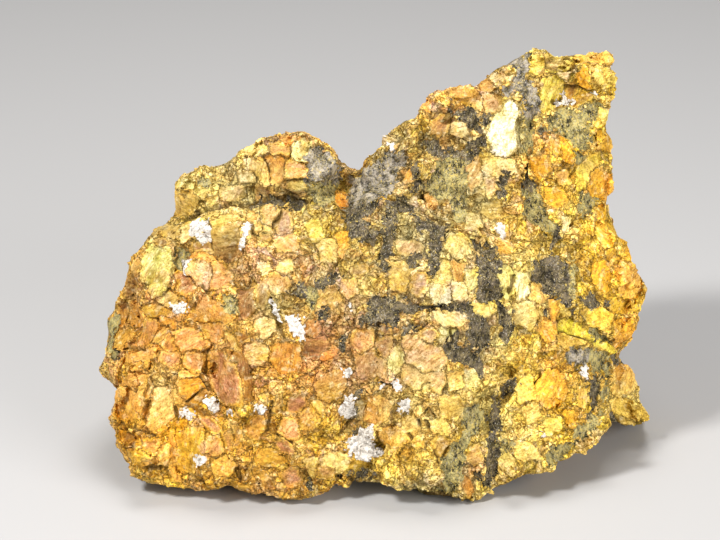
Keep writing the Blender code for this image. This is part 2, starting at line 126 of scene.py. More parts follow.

# Thin veils over the show face, of dust from the host rock or of a stain, which also paint light and
# shade: the lighter veils brighten and the darker ones dim parts of the face by how much light falls
# there, such as the shaded foot. Each has a paint, the middle in pixels of the view, how many pixels
# it reaches, and how thick it lies. The order of paints goes from the lowest paint to the one on top.
VEIL_AND_LIGHT_ORDER = ("amber", "rose", "flame", "sun", "pale", "khaki")
VEILS_AND_PAINTED_LIGHT = [
    ("amber", 150, 340, 40, 0.3), ("amber", 130, 280, 25, 0.2), ("amber", 240, 355, 50, 0.2),
    ("amber", 335, 360, 40, 0.35), ("amber", 150, 380, 30, 0.1), ("amber", 330, 300, 30, 0.2),
    ("amber", 310, 410, 25, 0.2), ("amber", 275, 455, 40, 0.1),
    ("flame", 140, 420, 45, 0.35), ("flame", 190, 380, 40, 0.25), ("flame", 160, 450, 45, 0.35),
    ("flame", 200, 320, 35, 0.25), ("flame", 130, 340, 35, 0.25), ("flame", 250, 440, 50, 0.2),
    ("sun", 600, 230, 45, 0.35), ("sun", 630, 300, 35, 0.45), ("sun", 590, 140, 35, 0.3),
    ("sun", 525, 375, 30, 0.5), ("sun", 495, 412, 35, 0.45), ("sun", 560, 430, 40, 0.35),
    ("sun", 560, 200, 30, 0.3), ("sun", 410, 455, 30, 0.4), ("sun", 415, 395, 30, 0.3),
    ("sun", 342, 234, 18, 0.45), ("sun", 630, 400, 25, 0.5), ("sun", 590, 320, 30, 0.4),
    ("sun", 524, 270, 30, 0.35), ("sun", 215, 205, 35, 0.3), ("sun", 600, 85, 20, 0.2),
    ("rose", 205, 345, 45, 0.25), ("rose", 300, 360, 45, 0.22), ("rose", 200, 272, 25, 0.25),
    ("rose", 335, 300, 30, 0.15), ("rose", 245, 300, 30, 0.15), ("rose", 260, 480, 30, 0.2),
    ("flame", 525, 385, 25, 0.3), ("flame", 410, 448, 28, 0.3), ("flame", 632, 285, 35, 0.25),
    ("flame", 600, 240, 28, 0.25), ("flame", 414, 400, 30, 0.15), ("flame", 562, 420, 25, 0.15),
    ("pale", 486, 408, 30, 0.35), ("pale", 522, 275, 28, 0.3), ("pale", 486, 345, 20, 0.3),
    ("pale", 492, 130, 28, 0.3), ("pale", 235, 202, 45, 0.3), ("pale", 415, 375, 30, 0.2),
    ("pale", 520, 130, 20, 0.3), ("pale", 415, 420, 30, 0.2), ("pale", 630, 395, 25, 0.3),
    ("pale", 410, 235, 30, 0.3), ("pale", 276, 304, 22, 0.3), ("pale", 481, 202, 22, 0.35),
    ("pale", 158, 385, 20, 0.25), ("sun", 597, 383, 22, 0.4), ("rose", 350, 363, 35, 0.3),
    ("amber", 205, 480, 30, 0.35), ("amber", 277, 483, 25, 0.25), ("khaki", 418, 485, 25, 0.5),
    ("khaki", 228, 160, 18, 0.5), ("amber", 418, 452, 20, 0.3),
    ("khaki", 400, 230, 60, 0.3), ("khaki", 430, 330, 60, 0.35), ("khaki", 378, 130, 30, 0.45),
    ("khaki", 340, 280, 40, 0.3), ("khaki", 300, 205, 40, 0.25), ("khaki", 225, 195, 30, 0.15),
    ("khaki", 185, 165, 20, 0.4), ("khaki", 162, 230, 25, 0.5), ("khaki", 465, 182, 40, 0.5),
    ("khaki", 500, 320, 30, 0.2), ("khaki", 385, 400, 40, 0.25), ("khaki", 450, 240, 30, 0.3),
    ("khaki", 545, 240, 40, 0.1), ("khaki", 490, 80, 20, 0.3), ("khaki", 126, 306, 20, 0.35),
    ("khaki", 486, 400, 30, 0.1), ("khaki", 455, 480, 30, 0.3), ("khaki", 590, 350, 30, 0.25),
]

# Cleavage facets of the show face. Each has a paint, how far its plane leans to the right and up,
# how far it stands out in millimetres, the heading of its ribs in degrees from level, and its
# corners in pixels of the view.
FACETS = [
    # the left edge and the large pale facet
    ("pale", (-0.35, 0.25), 0.8, 70, [(153, 249), (168, 249), (172, 262), (171, 273), (166, 285),
        (161, 298), (154, 298), (149, 287), (143, 272)]),
    ("cream", (0.1, -0.1), 0.5, 20, [(157, 299), (166, 292), (176, 296), (177, 304), (168, 308),
        (160, 305)]),
    ("brown", (-0.6, 0.1), 0, 65, [(141, 262), (145, 270), (137, 288), (128, 298), (127, 284),
        (133, 270)]),
    ("orange", (-0.2, -0.1), 0.2, 85, [(129, 303), (138, 303), (141, 318), (137, 325), (128, 321)]),
    ("vivid", (-0.5, 0), 0.1, 80, [(120, 307), (127, 303), (125, 318), (121, 327), (117, 322)]),
    ("gold", (0, 0.3), 0.3, 0, [(141, 307), (156, 305), (172, 311), (171, 318), (158, 317),
        (142, 315)]),
    ("rose", (-0.1, -0.1), 0.3, 80, [(143, 319), (156, 319), (161, 323), (156, 338), (151, 347),
        (141, 346)]),
    ("cream", (0.2, 0.4), 0.2, 50, [(160, 327), (168, 327), (167, 334), (160, 343), (151, 344),
        (153, 338)]),
    ("orange", (0.1, -0.2), 0.3, 10, [(160, 317), (175, 318), (176, 327), (168, 325), (158, 322)]),
    ("olive_gold", (-0.3, 0.1), 0.2, 40, [(112, 330), (118, 328), (132, 330), (135, 342), (124, 350),
        (116, 345)]),
    ("tan", (0, -0.2), 0.2, 0, [(126, 342), (138, 341), (140, 350), (130, 352), (124, 349)]),
    # the left belly
    ("peach", (0, 0.1), 0.5, 30, [(174, 333), (186, 329), (200, 331), (209, 344), (204, 352),
        (181, 352), (176, 344)]),
    ("rose", (-0.2, -0.2), 0.1, 70, [(171, 335), (177, 350), (167, 353), (162, 346)]),
    ("peach", (-0.1, 0.2), 0.5, -28, [(196, 303), (205, 298), (222, 306), (232, 318), (229, 323),
        (212, 322), (190, 318)]),
    ("peach", (0.1, 0.1), 0.3, -15, [(200, 325), (222, 323), (226, 335), (214, 343), (204, 338)]),
    ("cream", (0.3, 0.2), 0.2, 60, [(227, 333), (236, 338), (238, 350), (230, 346)]),
    ("cream", (0.1, 0.2), 0.5, -55, [(197, 262), (206, 261), (212, 275), (208, 288), (197, 285),
        (192, 272)]),
    ("peach", (0.2, 0.1), 0.5, 50, [(212, 262), (222, 261), (231, 272), (228, 284), (220, 292),
        (211, 290)]),
    ("rose", (-0.3, -0.2), 0.1, 60, [(176, 276), (190, 276), (196, 288), (186, 295), (177, 290)]),
    ("peach", (-0.1, 0.4), 0.6, 10, [(132, 353), (150, 349), (160, 349), (150, 362), (146, 368),
        (122, 367), (126, 358)]),
    ("orange", (0, -0.5), 0.5, 0, [(122, 361), (146, 362), (143, 371), (132, 370)]),
    ("rose", (0.1, -0.2), 0.3, 50, [(164, 352), (177, 352), (177, 362), (169, 367), (162, 361)]),
    ("rose", (0.1, 0.1), 0.6, 15, [(186, 352), (207, 352), (205, 366), (196, 371), (184, 364)]),
    ("peach", (0, 0.35), 0.6, 20, [(128, 375), (149, 375), (145, 388), (124, 389), (123, 382)]),
    ("brown", (0.7, -0.1), 0.3, 60, [(150, 376), (155, 385), (148, 397), (143, 398), (146, 388)]),
    ("peach", (-0.1, 0), 0.7, 80, [(123, 391), (142, 390), (144, 400), (146, 409), (141, 418),
        (119, 418), (116, 405)]),
    ("brown", (0.5, -0.2), 0.2, 85, [(145, 399), (149, 399), (151, 410), (147, 418), (142, 415)]),
    ("cream", (0.1, 0.1), 0.6, 35, [(153, 386), (165, 388), (172, 398), (175, 412), (166, 423),
        (151, 430), (147, 420), (151, 402)]),
    ("cream", (0.2, 0.1), 0.3, 30, [(171, 390), (180, 389), (184, 398), (176, 402)]),
    ("peach", (0, 0.5), 0.9, 0, [(179, 372), (201, 371), (203, 378), (191, 379), (179, 379)]),
    ("orange", (0, -0.1), 0.9, 20, [(179, 379), (202, 378), (205, 386), (200, 391), (187, 400),
        (178, 392)]),
    ("brown", (0.5, -0.5), 0.4, 35, [(203, 388), (207, 392), (196, 408), (186, 402)]),
    ("rose", (0.25, 0.1), 1.1, -60, [(209, 353), (222, 352), (236, 365), (244, 384), (242, 404),
        (228, 404), (217, 396), (213, 380)]),
    ("brown", (0.8, -0.1), 0.3, -70, [(226, 352), (236, 354), (248, 374), (252, 400), (244, 402),
        (243, 384), (236, 366)]),
    ("gold", (0, 0), 0.5, 82, [(176, 434), (185, 428), (203, 430), (204, 450), (197, 468), (177, 470)]),
    ("peach", (-0.2, 0), 0.6, 85, [(170, 432), (175, 432), (174, 460), (180, 478), (173, 478),
        (169, 460)]),
    ("rust", (-0.1, -0.3), 0.2, 10, [(120, 430), (137, 433), (140, 446), (131, 448), (120, 440)]),
    ("rose", (0.1, -0.3), 0.2, 20, [(144, 439), (161, 442), (158, 450), (151, 456), (144, 449)]),
    ("cream", (0, 0.1), 0.4, 80, [(159, 447), (168, 444), (170, 458), (160, 464)]),
    ("gold", (0, 0.2), 0.4, -10, [(127, 451), (142, 452), (158, 458), (150, 465), (132, 464)]),
    ("rose", (0.1, -0.1), 0.3, -50, [(200, 417), (210, 418), (221, 430), (214, 434)]),
    ("orange", (0.1, -0.2), 0.2, 30, [(176, 423), (186, 421), (184, 430), (177, 433)]),
    ("peach", (-0.1, 0.1), 0.4, 60, [(208, 434), (218, 436), (224, 448), (214, 456), (206, 446)]),
    ("peach", (0.1, 0), 0.3, 80, [(222, 432), (232, 430), (233, 446), (227, 452)]),
    ("rose", (0.2, -0.1), 0.3, 88, [(234, 426), (240, 428), (240, 446), (235, 446)]),
    ("gold", (0, 0.1), 0.4, -30, [(212, 460), (226, 456), (236, 466), (228, 476), (214, 472)]),
    ("gold", (0.1, 0.2), 0.4, -10, [(226, 481), (240, 484), (252, 488), (238, 490)]),
    ("peach", (-0.1, 0.1), 0.4, 40, [(250, 418), (262, 416), (266, 426), (258, 438), (246, 432)]),
    ("rose", (0, 0.1), 0.4, -10, [(276, 443), (290, 444), (294, 451), (280, 453)]),
    ("gold", (0, 0.1), 0.4, 5, [(258, 450), (276, 452), (282, 462), (268, 468), (256, 460)]),
    ("peach", (0, -0.1), 0.3, 50, [(280, 474), (296, 470), (302, 482), (290, 488)]),
    ("gold", (0.1, -0.1), 0.3, 60, [(254, 470), (266, 474), (274, 488), (262, 486)]),
    # the dome and the ledge under it
    ("pale", (-0.2, 0.6), 0.4, 20, [(178, 188), (186, 182), (194, 184), (192, 190), (181, 191)]),
    ("gold", (-0.2, 0), 0.5, -35, [(177, 191), (192, 190), (200, 199), (192, 211), (177, 216)]),
    ("olive_gold", (0, -0.3), 0.4, 30, [(196, 189), (209, 187), (203, 199), (194, 193)]),
    ("tan", (0.1, 0.1), 0.3, 10, [(222, 186), (240, 184), (244, 196), (230, 201), (220, 197)]),
    ("lemon", (0, 0.1), 0.3, 45, [(207, 198), (217, 196), (218, 206), (209, 207)]),
    ("gold", (0, 0.3), 0.4, 15, [(153, 230), (165, 227), (182, 226), (178, 238), (156, 239)]),
    ("cream", (0.1, 0.3), 0.3, 30, [(180, 226), (191, 223), (192, 236), (184, 242)]),
    ("tan", (0, -0.1), 0.4, 0, [(160, 240), (172, 240), (170, 248), (158, 249)]),
    ("peach", (0.1, 0.2), 0.3, 5, [(214, 224), (228, 218), (238, 217), (238, 223), (224, 226)]),
    ("brown", (0.1, -0.35), -0.6, 4, [(213, 229), (226, 224), (238, 224), (238, 250), (231, 257),
        (217, 256), (212, 244)]),
    ("rose", (-0.1, -0.2), 0.3, 10, [(193, 244), (210, 244), (212, 251), (202, 254), (192, 252)]),
    ("orange", (0.1, 0), 0.4, -30, [(193, 252), (208, 252), (214, 258), (204, 262), (194, 260)]),
    ("gold", (-0.2, 0.1), 0.5, 75, [(251, 161), (262, 158), (270, 170), (268, 184), (257, 178),
        (250, 169)]),
    ("orange", (0, 0.05), 0.5, 70, [(267, 156), (284, 155), (285, 168), (282, 179), (271, 183),
        (270, 168)]),
    ("peach", (0.1, -0.1), 0.6, 30, [(287, 161), (298, 159), (304, 168), (306, 176), (290, 178),
        (283, 172)]),
    ("pale", (0.2, 0.3), 0.4, 60, [(294, 142), (304, 137), (312, 146), (313, 157), (300, 162),
        (290, 158)]),
    ("peach", (-0.1, 0.4), 0.4, 10, [(272, 147), (284, 144), (292, 150), (288, 156), (272, 156)]),
    ("orange", (0, 0.5), 0.3, 20, [(282, 138), (296, 138), (294, 146), (284, 143)]),
    ("cream", (-0.2, 0.4), 0.3, 30, [(248, 148), (262, 144), (268, 152), (256, 157), (247, 155)]),
    ("cream", (0, 0.2), 0.3, 0, [(239, 173), (249, 172), (250, 180), (240, 181)]),
    ("gold", (0.1, -0.1), 0.4, 25, [(311, 174), (325, 168), (338, 168), (334, 174), (318, 180),
        (311, 179)]),
    ("cream", (0, 0.2), 0.4, 10, [(289, 184), (304, 183), (306, 190), (298, 192), (288, 191)]),
    ("rose", (0, -0.1), 0.2, 0, [(256, 189), (271, 188), (270, 196), (256, 197)]),
    # between the dome and the comet
    ("peach", (-0.1, 0.1), 0.5, 60, [(262, 207), (272, 204), (279, 211), (275, 224), (262, 221)]),
    ("tan", (0.2, 0), 0.4, 80, [(282, 211), (289, 211), (291, 232), (281, 236), (277, 226)]),
    ("peach", (-0.2, 0.1), 0.5, 50, [(253, 220), (262, 219), (263, 230), (258, 232), (252, 226)]),
    ("peach", (0.1, 0), 0.5, 5, [(264, 221), (276, 226), (274, 231), (263, 231)]),
    ("rose", (0, -0.1), 0.4, 10, [(260, 232), (269, 232), (270, 238), (264, 240)]),
    ("orange", (0, 0.2), 0.2, 60, [(250, 210), (256, 212), (252, 222), (249, 218)]),
    ("peach", (0, 0.15), 0.4, 20, [(274, 241), (288, 236), (298, 240), (296, 252), (278, 252)]),
    ("cream", (0.1, 0.1), 0.4, -60, [(320, 240), (334, 238), (339, 250), (335, 262), (322, 262)]),
    ("lemon", (0, 0), 0.3, 30, [(306, 224), (318, 220), (322, 232), (312, 238)]),
    ("vivid", (0.1, 0), 0.3, 80, [(337, 232), (344, 230), (348, 246), (343, 256), (338, 248)]),
    ("vivid", (0, 0), 0.3, 85, [(337, 192), (343, 190), (346, 200), (341, 207), (336, 202)]),
    ("cream", (0, 0.2), 0.5, 15, [(280, 262), (290, 261), (292, 269), (284, 273), (278, 267)]),
    ("cream", (-0.1, 0.3), 0.4, 15, [(258, 262), (268, 262), (272, 270), (262, 274), (257, 268)]),
    ("peach", (0, 0), 0.5, 70, [(270, 273), (282, 272), (290, 280), (288, 291), (275, 292),
        (268, 284)]),
    ("tan", (-0.2, -0.1), 0.3, 75, [(258, 285), (266, 281), (268, 296), (262, 306), (256, 304)]),
    ("brown", (-0.2, -0.1), 0.3, 80, [(240, 290), (252, 290), (254, 306), (246, 318), (240, 310)]),
    ("rust", (0.1, 0), 0.3, 60, [(352, 268), (360, 263), (367, 265), (366, 274), (354, 277)]),
    ("cream", (-0.1, 0.1), 0.7, 20, [(256, 322), (265, 318), (274, 322), (275, 331), (265, 336),
        (256, 330)]),
    ("rust", (-0.1, 0), 0.3, 30, [(237, 333), (245, 332), (249, 340), (242, 348), (237, 344)]),
    ("orange", (0, -0.05), 0.4, 85, [(272, 347), (286, 343), (299, 345), (299, 358), (296, 370),
        (280, 373), (271, 360)]),
    ("cream", (0, 0.2), 0.4, 10, [(244, 346), (256, 342), (268, 350), (262, 364), (248, 362)]),
    ("gold", (0.1, 0.1), 0.3, 40, [(318, 292), (334, 290), (340, 300), (332, 309), (318, 306)]),
    ("peach", (0, 0.1), 0.4, 70, [(343, 282), (354, 280), (358, 292), (348, 298), (341, 292)]),
    ("brown", (0, -0.2), 0.1, 0, [(306, 340), (324, 338), (330, 350), (316, 358), (302, 354)]),
    ("vivid", (0, 0), 0.4, 45, [(309, 321), (315, 320), (320, 328), (316, 336), (309, 333)]),
    ("vivid", (0, 0), 0.4, 30, [(320, 354), (332, 346), (337, 350), (334, 357), (322, 359)]),
    # the middle foot
    ("gold", (0.1, 0), 0.5, 20, [(318, 383), (344, 370), (345, 384), (340, 394), (323, 402),
        (317, 391)]),
    ("peach", (0, 0.1), 0.4, 50, [(302, 410), (312, 409), (318, 418), (312, 430), (300, 428)]),
    ("rose", (-0.1, 0.05), 0.4, 20, [(290, 398), (300, 395), (306, 402), (300, 412), (288, 412)]),
    ("cream", (0.1, 0.1), 0.4, -50, [(313, 402), (322, 401), (322, 414), (318, 412)]),
    ("peach", (0, 0), 0.3, 30, [(285, 418), (298, 420), (300, 436), (288, 438), (280, 430)]),
    ("cream", (0, 0.2), 0.6, -15, [(321, 459), (338, 453), (351, 458), (350, 467), (338, 471),
        (326, 467)]),
    ("cream", (0.1, 0), 0.4, 70, [(305, 460), (314, 459), (318, 472), (312, 477)]),
    ("peach", (0, -0.1), 0.4, -10, [(317, 467), (333, 467), (333, 474), (318, 475)]),
    ("gold", (0.2, 0), 0.4, -35, [(350, 458), (360, 459), (368, 467), (362, 471), (351, 470)]),
    ("olive_gold", (0.1, 0), 0.4, 70, [(354, 407), (363, 402), (362, 418), (355, 421)]),
    ("orange", (0, 0.05), 0.7, 75, [(365, 399), (378, 396), (392, 403), (390, 415), (376, 424),
        (364, 420)]),
    ("tan", (0, 0), 0.3, 60, [(356, 356), (374, 352), (386, 360), (384, 374), (360, 376)]),
    ("peach", (-0.1, 0.1), 0.5, -25, [(354, 332), (372, 330), (374, 346), (360, 352), (352, 344)]),
    ("rust", (-0.1, -0.1), 0.4, 20, [(376, 338), (390, 337), (393, 350), (386, 358), (376, 356)]),
    ("rose", (0, 0.3), 0.6, 70, [(377, 326), (388, 324), (391, 334), (380, 338)]),
    # the centre bulge
    ("peach", (0, 0.1), 0.4, 60, [(403, 366), (428, 365), (440, 367), (446, 380), (440, 392),
        (414, 388), (403, 379)]),
    ("pale", (0, 0.3), 0.5, 30, [(422, 384), (430, 384), (431, 390), (423, 391)]),
    ("peach", (0.1, 0.1), 0.5, 40, [(404, 338), (418, 336), (428, 345), (440, 349), (446, 360),
        (440, 371), (420, 374), (408, 362)]),
    ("rose", (0, 0.3), 0.7, 20, [(416, 334), (426, 330), (438, 334), (430, 341), (420, 342)]),
    ("pale", (0.1, 0.1), 0.5, 80, [(392, 346), (402, 346), (404, 362), (398, 371), (389, 366)]),
    ("cream", (0.1, 0.2), 0.6, -45, [(433, 313), (450, 311), (464, 311), (468, 319), (460, 325),
        (444, 326), (436, 320)]),
    ("pale", (0, 0.1), 0.5, 20, [(442, 329), (456, 331), (454, 340), (446, 344), (437, 340)]),
    ("gold", (0, 0.1), 0.5, -50, [(390, 264), (404, 262), (414, 272), (416, 284), (404, 292),
        (392, 288)]),
    ("rose", (0.1, 0), 0.4, 10, [(412, 276), (426, 275), (428, 290), (416, 296), (409, 288)]),
    ("cream", (0, 0.1), 0.6, 50, [(438, 263), (448, 262), (450, 276), (446, 284), (434, 282)]),
    ("pale", (0.1, 0.1), 0.5, 60, [(430, 288), (446, 285), (452, 299), (446, 304), (436, 306)]),
    ("orange", (0.1, 0), 0.4, 85, [(451, 262), (463, 266), (463, 280), (455, 281)]),
    ("pale", (0.2, 0.1), 0.5, 70, [(464, 270), (476, 272), (478, 285), (468, 290)]),
    ("cream", (0, 0.1), 0.4, 30, [(451, 283), (464, 284), (466, 298), (453, 300)]),
    ("cream", (0, 0.1), 0.4, 60, [(450, 236), (464, 238), (470, 252), (456, 258), (446, 248)]),
    ("peach", (0, 0), 0.4, 45, [(398, 240), (412, 241), (424, 247), (414, 254), (398, 252)]),
    ("lemon", (0, 0.1), 0.5, 0, [(472, 305), (489, 303), (493, 311), (486, 317), (472, 312)]),
    ("tan", (0.1, 0), 0.3, 50, [(404, 420), (412, 415), (420, 428), (414, 436), (406, 430)]),
    ("orange", (0, 0), 0.6, 82, [(378, 431), (400, 428), (410, 438), (398, 446), (382, 444)]),
    ("vivid", (0, 0), 0.3, 20, [(412, 439), (420, 438), (423, 446), (414, 448)]),
    ("rose", (0, 0.1), 0.4, 75, [(432, 443), (440, 436), (450, 440), (446, 450), (440, 456),
        (434, 450)]),
    ("gold", (0, 0.1), 0.4, 20, [(440, 398), (458, 396), (464, 408), (456, 420), (442, 416)]),
    ("cream", (-0.1, 0.1), 0.4, 0, [(430, 422), (444, 420), (450, 432), (438, 434)]),
    ("gold", (0, 0.1), 0.4, 50, [(448, 374), (458, 372), (462, 386), (450, 390)]),
    ("pale", (0.1, 0.1), 0.4, 40, [(463, 370), (477, 370), (479, 384), (466, 388)]),
    ("peach", (0, 0.05), 0.4, 30, [(470, 448), (478, 444), (482, 458), (474, 464), (468, 458)]),
    ("orange", (0.1, 0), 0.4, 75, [(462, 475), (468, 478), (472, 490), (466, 493), (462, 482)]),
    ("cream", (0.1, 0.05), 0.5, -32, [(498, 450), (508, 454), (514, 462), (513, 476), (500, 464)]),
    # the crown
    ("pale", (-0.1, 0.1), 0.8, 78, [(490, 118), (500, 108), (512, 101), (517, 106), (516, 148),
        (505, 157), (495, 150), (492, 135)]),
    ("cream", (0, 0.1), 0.5, 10, [(482, 160), (498, 158), (514, 160), (514, 170), (500, 176),
        (486, 172)]),
    ("orange", (0, 0.05), 0.4, 70, [(468, 158), (478, 156), (482, 178), (472, 190), (468, 176)]),
    ("peach", (0, 0.05), 0.4, 20, [(484, 178), (496, 180), (496, 192), (488, 198), (480, 190)]),
    ("rust", (0, 0), 0.3, 30, [(475, 190), (484, 188), (487, 196), (478, 200)]),
    ("gold", (0, 0), 0.4, 0, [(482, 204), (500, 202), (506, 214), (492, 218), (482, 212)]),
    ("cream", (0, 0.2), 0.4, 70, [(466, 214), (478, 213), (480, 226), (468, 230)]),
    ("orange", (0.1, -0.1), 0.3, 10, [(495, 240), (508, 240), (512, 252), (500, 250)]),
    ("orange", (0, 0.2), 0.4, 60, [(426, 196), (433, 195), (438, 204), (434, 208), (428, 206)]),
    ("orange", (0, 0.1), 0.4, 80, [(403, 171), (412, 171), (413, 180), (406, 183)]),
    ("peach", (0, 0.1), 0.4, 60, [(440, 114), (448, 119), (446, 128), (437, 136), (429, 134),
        (431, 122)]),
    ("cream", (0, 0.1), 0.4, 10, [(452, 124), (464, 124), (468, 134), (456, 138), (450, 132)]),
    ("orange", (-0.2, 0.2), 0.4, 60, [(423, 104), (428, 99), (432, 104), (429, 112), (424, 110)]),
    ("peach", (0, 0.3), 0.4, -10, [(450, 91), (466, 91), (480, 98), (484, 110), (468, 104), (454, 98)]),
    ("peach", (0, 0.1), 0.3, 20, [(482, 98), (492, 96), (498, 106), (490, 112), (485, 108)]),
    ("orange", (-0.1, 0.3), 0.3, 30, [(481, 86), (488, 80), (494, 84), (490, 92), (482, 92)]),
    ("cream", (-0.1, 0.4), 0.4, 15, [(490, 76), (502, 74), (512, 76), (504, 84), (492, 84)]),
    # the peak and the cavity in it
    ("lemon", (0, 0.2), 0.4, 30, [(528, 58), (541, 55), (545, 64), (536, 74), (529, 70)]),
    ("cream", (0, 0.4), 0.4, 0, [(546, 55), (558, 56), (572, 62), (566, 67), (548, 64)]),
    ("gold", (0, 0.2), 0.3, 0, [(576, 56), (608, 54), (608, 62), (588, 62), (578, 61)]),
    ("lemon", (0, 0.05), 0.4, 75, [(542, 80), (556, 78), (565, 87), (560, 96), (553, 108), (542, 110)]),
    ("cream", (0, 0.2), 0.4, 40, [(560, 68), (572, 72), (566, 82), (556, 78)]),
    ("orange", (-0.1, 0.1), 0.4, 80, [(578, 72), (584, 66), (590, 74), (592, 86), (580, 87),
        (576, 80)]),
    ("cream", (0.2, 0.1), 0.5, -78, [(589, 67), (606, 68), (610, 86), (598, 86), (592, 80)]),
    ("rust", (0.3, -0.2), -1.3, 60, [(566, 91), (575, 83), (577, 92), (572, 104), (567, 98)]),
    ("rust", (-0.2, 0.1), -1.5, 10, [(578, 91), (592, 90), (592, 97), (582, 103), (573, 106)]),
    ("orange", (0.2, 0), 0.3, -40, [(593, 130), (602, 129), (610, 138), (610, 151), (596, 148)]),
    ("lemon", (0.3, 0.1), 0.3, 60, [(596, 108), (606, 110), (605, 120), (600, 128), (592, 124)]),
    # the orange lobe and the right wall
    ("orange", (0, 0.1), 0.5, 60, [(560, 137), (569, 147), (571, 162), (562, 158), (559, 146)]),
    ("brown", (0, 0), 0.3, 60, [(551, 142), (557, 142), (561, 152), (555, 154)]),
    ("orange", (0, -0.05), 0.4, 20, [(545, 190), (560, 188), (566, 200), (556, 208), (547, 202)]),
    ("orange", (-0.1, 0), 0.4, 70, [(534, 158), (546, 156), (550, 170), (540, 176)]),
    ("peach", (0, 0), 0.4, 60, [(555, 172), (566, 170), (570, 182), (560, 186)]),
    ("orange", (0.2, 0.1), 0.6, -24, [(588, 174), (600, 168), (609, 178), (611, 190), (604, 199),
        (592, 195)]),
    ("lemon", (0.1, 0.2), 0.4, -60, [(580, 168), (590, 158), (600, 152), (590, 172), (586, 188),
        (578, 190), (577, 180)]),
    ("gold", (0.2, 0.1), 0.5, -50, [(597, 222), (608, 222), (616, 228), (617, 236), (608, 247),
        (597, 236)]),
    ("orange", (0.2, 0), 0.3, 80, [(596, 208), (603, 206), (606, 219), (598, 221)]),
    ("pale", (0, 0.1), 0.4, 80, [(562, 217), (567, 217), (569, 228), (564, 230)]),
    ("orange", (0.2, 0.2), 0.4, 70, [(624, 248), (631, 246), (633, 256), (628, 262)]),
    ("cream", (0.2, 0.1), 0.4, 75, [(618, 237), (624, 243), (627, 256), (619, 254)]),
    ("brown", (0.1, -0.1), 0.2, 40, [(608, 250), (616, 248), (618, 258), (610, 262)]),
    ("orange", (0.3, -0.1), 0.3, 70, [(594, 265), (610, 262), (612, 276), (604, 290), (597, 282)]),
    ("peach", (0.3, 0.05), 0.6, 30, [(618, 270), (630, 264), (640, 276), (644, 288), (636, 298),
        (620, 298)]),
    ("gold", (0.2, -0.2), 0.4, 8, [(608, 300), (622, 300), (636, 302), (630, 312), (614, 312)]),
    ("gold", (0, 0.1), 0.4, 15, [(584, 312), (600, 309), (612, 316), (608, 328), (592, 326)]),
    ("orange", (0.2, -0.1), 0.4, 65, [(615, 322), (628, 320), (633, 330), (622, 342), (614, 348)]),
    ("sulphur", (0, 0.2), 1.0, -32, [(561, 320), (566, 320), (580, 327), (592, 336), (604, 344),
        (616, 351), (612, 353), (598, 346), (586, 336), (572, 330), (562, 328)]),
    ("orange", (0, 0), 0.3, -50, [(545, 319), (552, 321), (558, 331), (555, 340), (546, 341),
        (541, 330)]),
    ("gold", (0, 0.1), 0.3, 0, [(560, 334), (576, 334), (586, 342), (570, 348), (560, 344)]),
    ("pale", (-0.1, 0.05), 0.7, 85, [(501, 268), (510, 267), (515, 276), (514, 292), (506, 300),
        (501, 284)]),
    ("pale", (0, 0.05), 0.6, 80, [(516, 272), (528, 276), (529, 294), (520, 302), (515, 290)]),
    ("cream", (0, 0.1), 0.3, 20, [(516, 304), (532, 302), (538, 316), (530, 330), (518, 322)]),
    ("orange", (0.2, 0.1), 0.4, -50, [(530, 284), (540, 286), (547, 298), (540, 302), (532, 296)]),
    ("orange", (0, 0), 0.3, -75, [(551, 300), (556, 302), (560, 318), (554, 320)]),
    ("cream", (0, 0.1), 0.4, -60, [(558, 300), (568, 306), (570, 318), (561, 318)]),
    # the right foot and toes
    ("orange", (0, 0.1), 0.5, 60, [(540, 372), (558, 371), (566, 388), (560, 404), (548, 407),
        (537, 400), (532, 388)]),
    ("cream", (0.1, 0.1), 0.4, 20, [(516, 384), (530, 375), (536, 385), (534, 397), (520, 401)]),
    ("pale", (0.1, 0.1), 0.4, 0, [(546, 420), (558, 419), (558, 430), (546, 432)]),
    ("cream", (0, 0.1), 0.4, 30, [(522, 408), (536, 404), (540, 418), (528, 424)]),
    ("peach", (0.1, 0.1), 0.3, 80, [(578, 388), (585, 390), (583, 407), (577, 404)]),
    ("orange", (0.1, -0.1), 0.3, 70, [(566, 412), (576, 412), (574, 428), (566, 426)]),
    ("orange", (0.2, 0.1), 0.5, 60, [(613, 370), (624, 363), (632, 371), (638, 381), (630, 392),
        (618, 397), (611, 388)]),
    ("gold", (0.1, 0.2), 0.5, -20, [(612, 401), (628, 399), (642, 409), (648, 417), (636, 420),
        (614, 414)]),
    ("brown", (0, -0.6), 0, 0, [(607, 417), (634, 420), (634, 425), (610, 424)]),
    ("cream", (0, 0.1), 0.4, 20, [(516, 442), (532, 444), (540, 456), (526, 462), (516, 454)]),
]

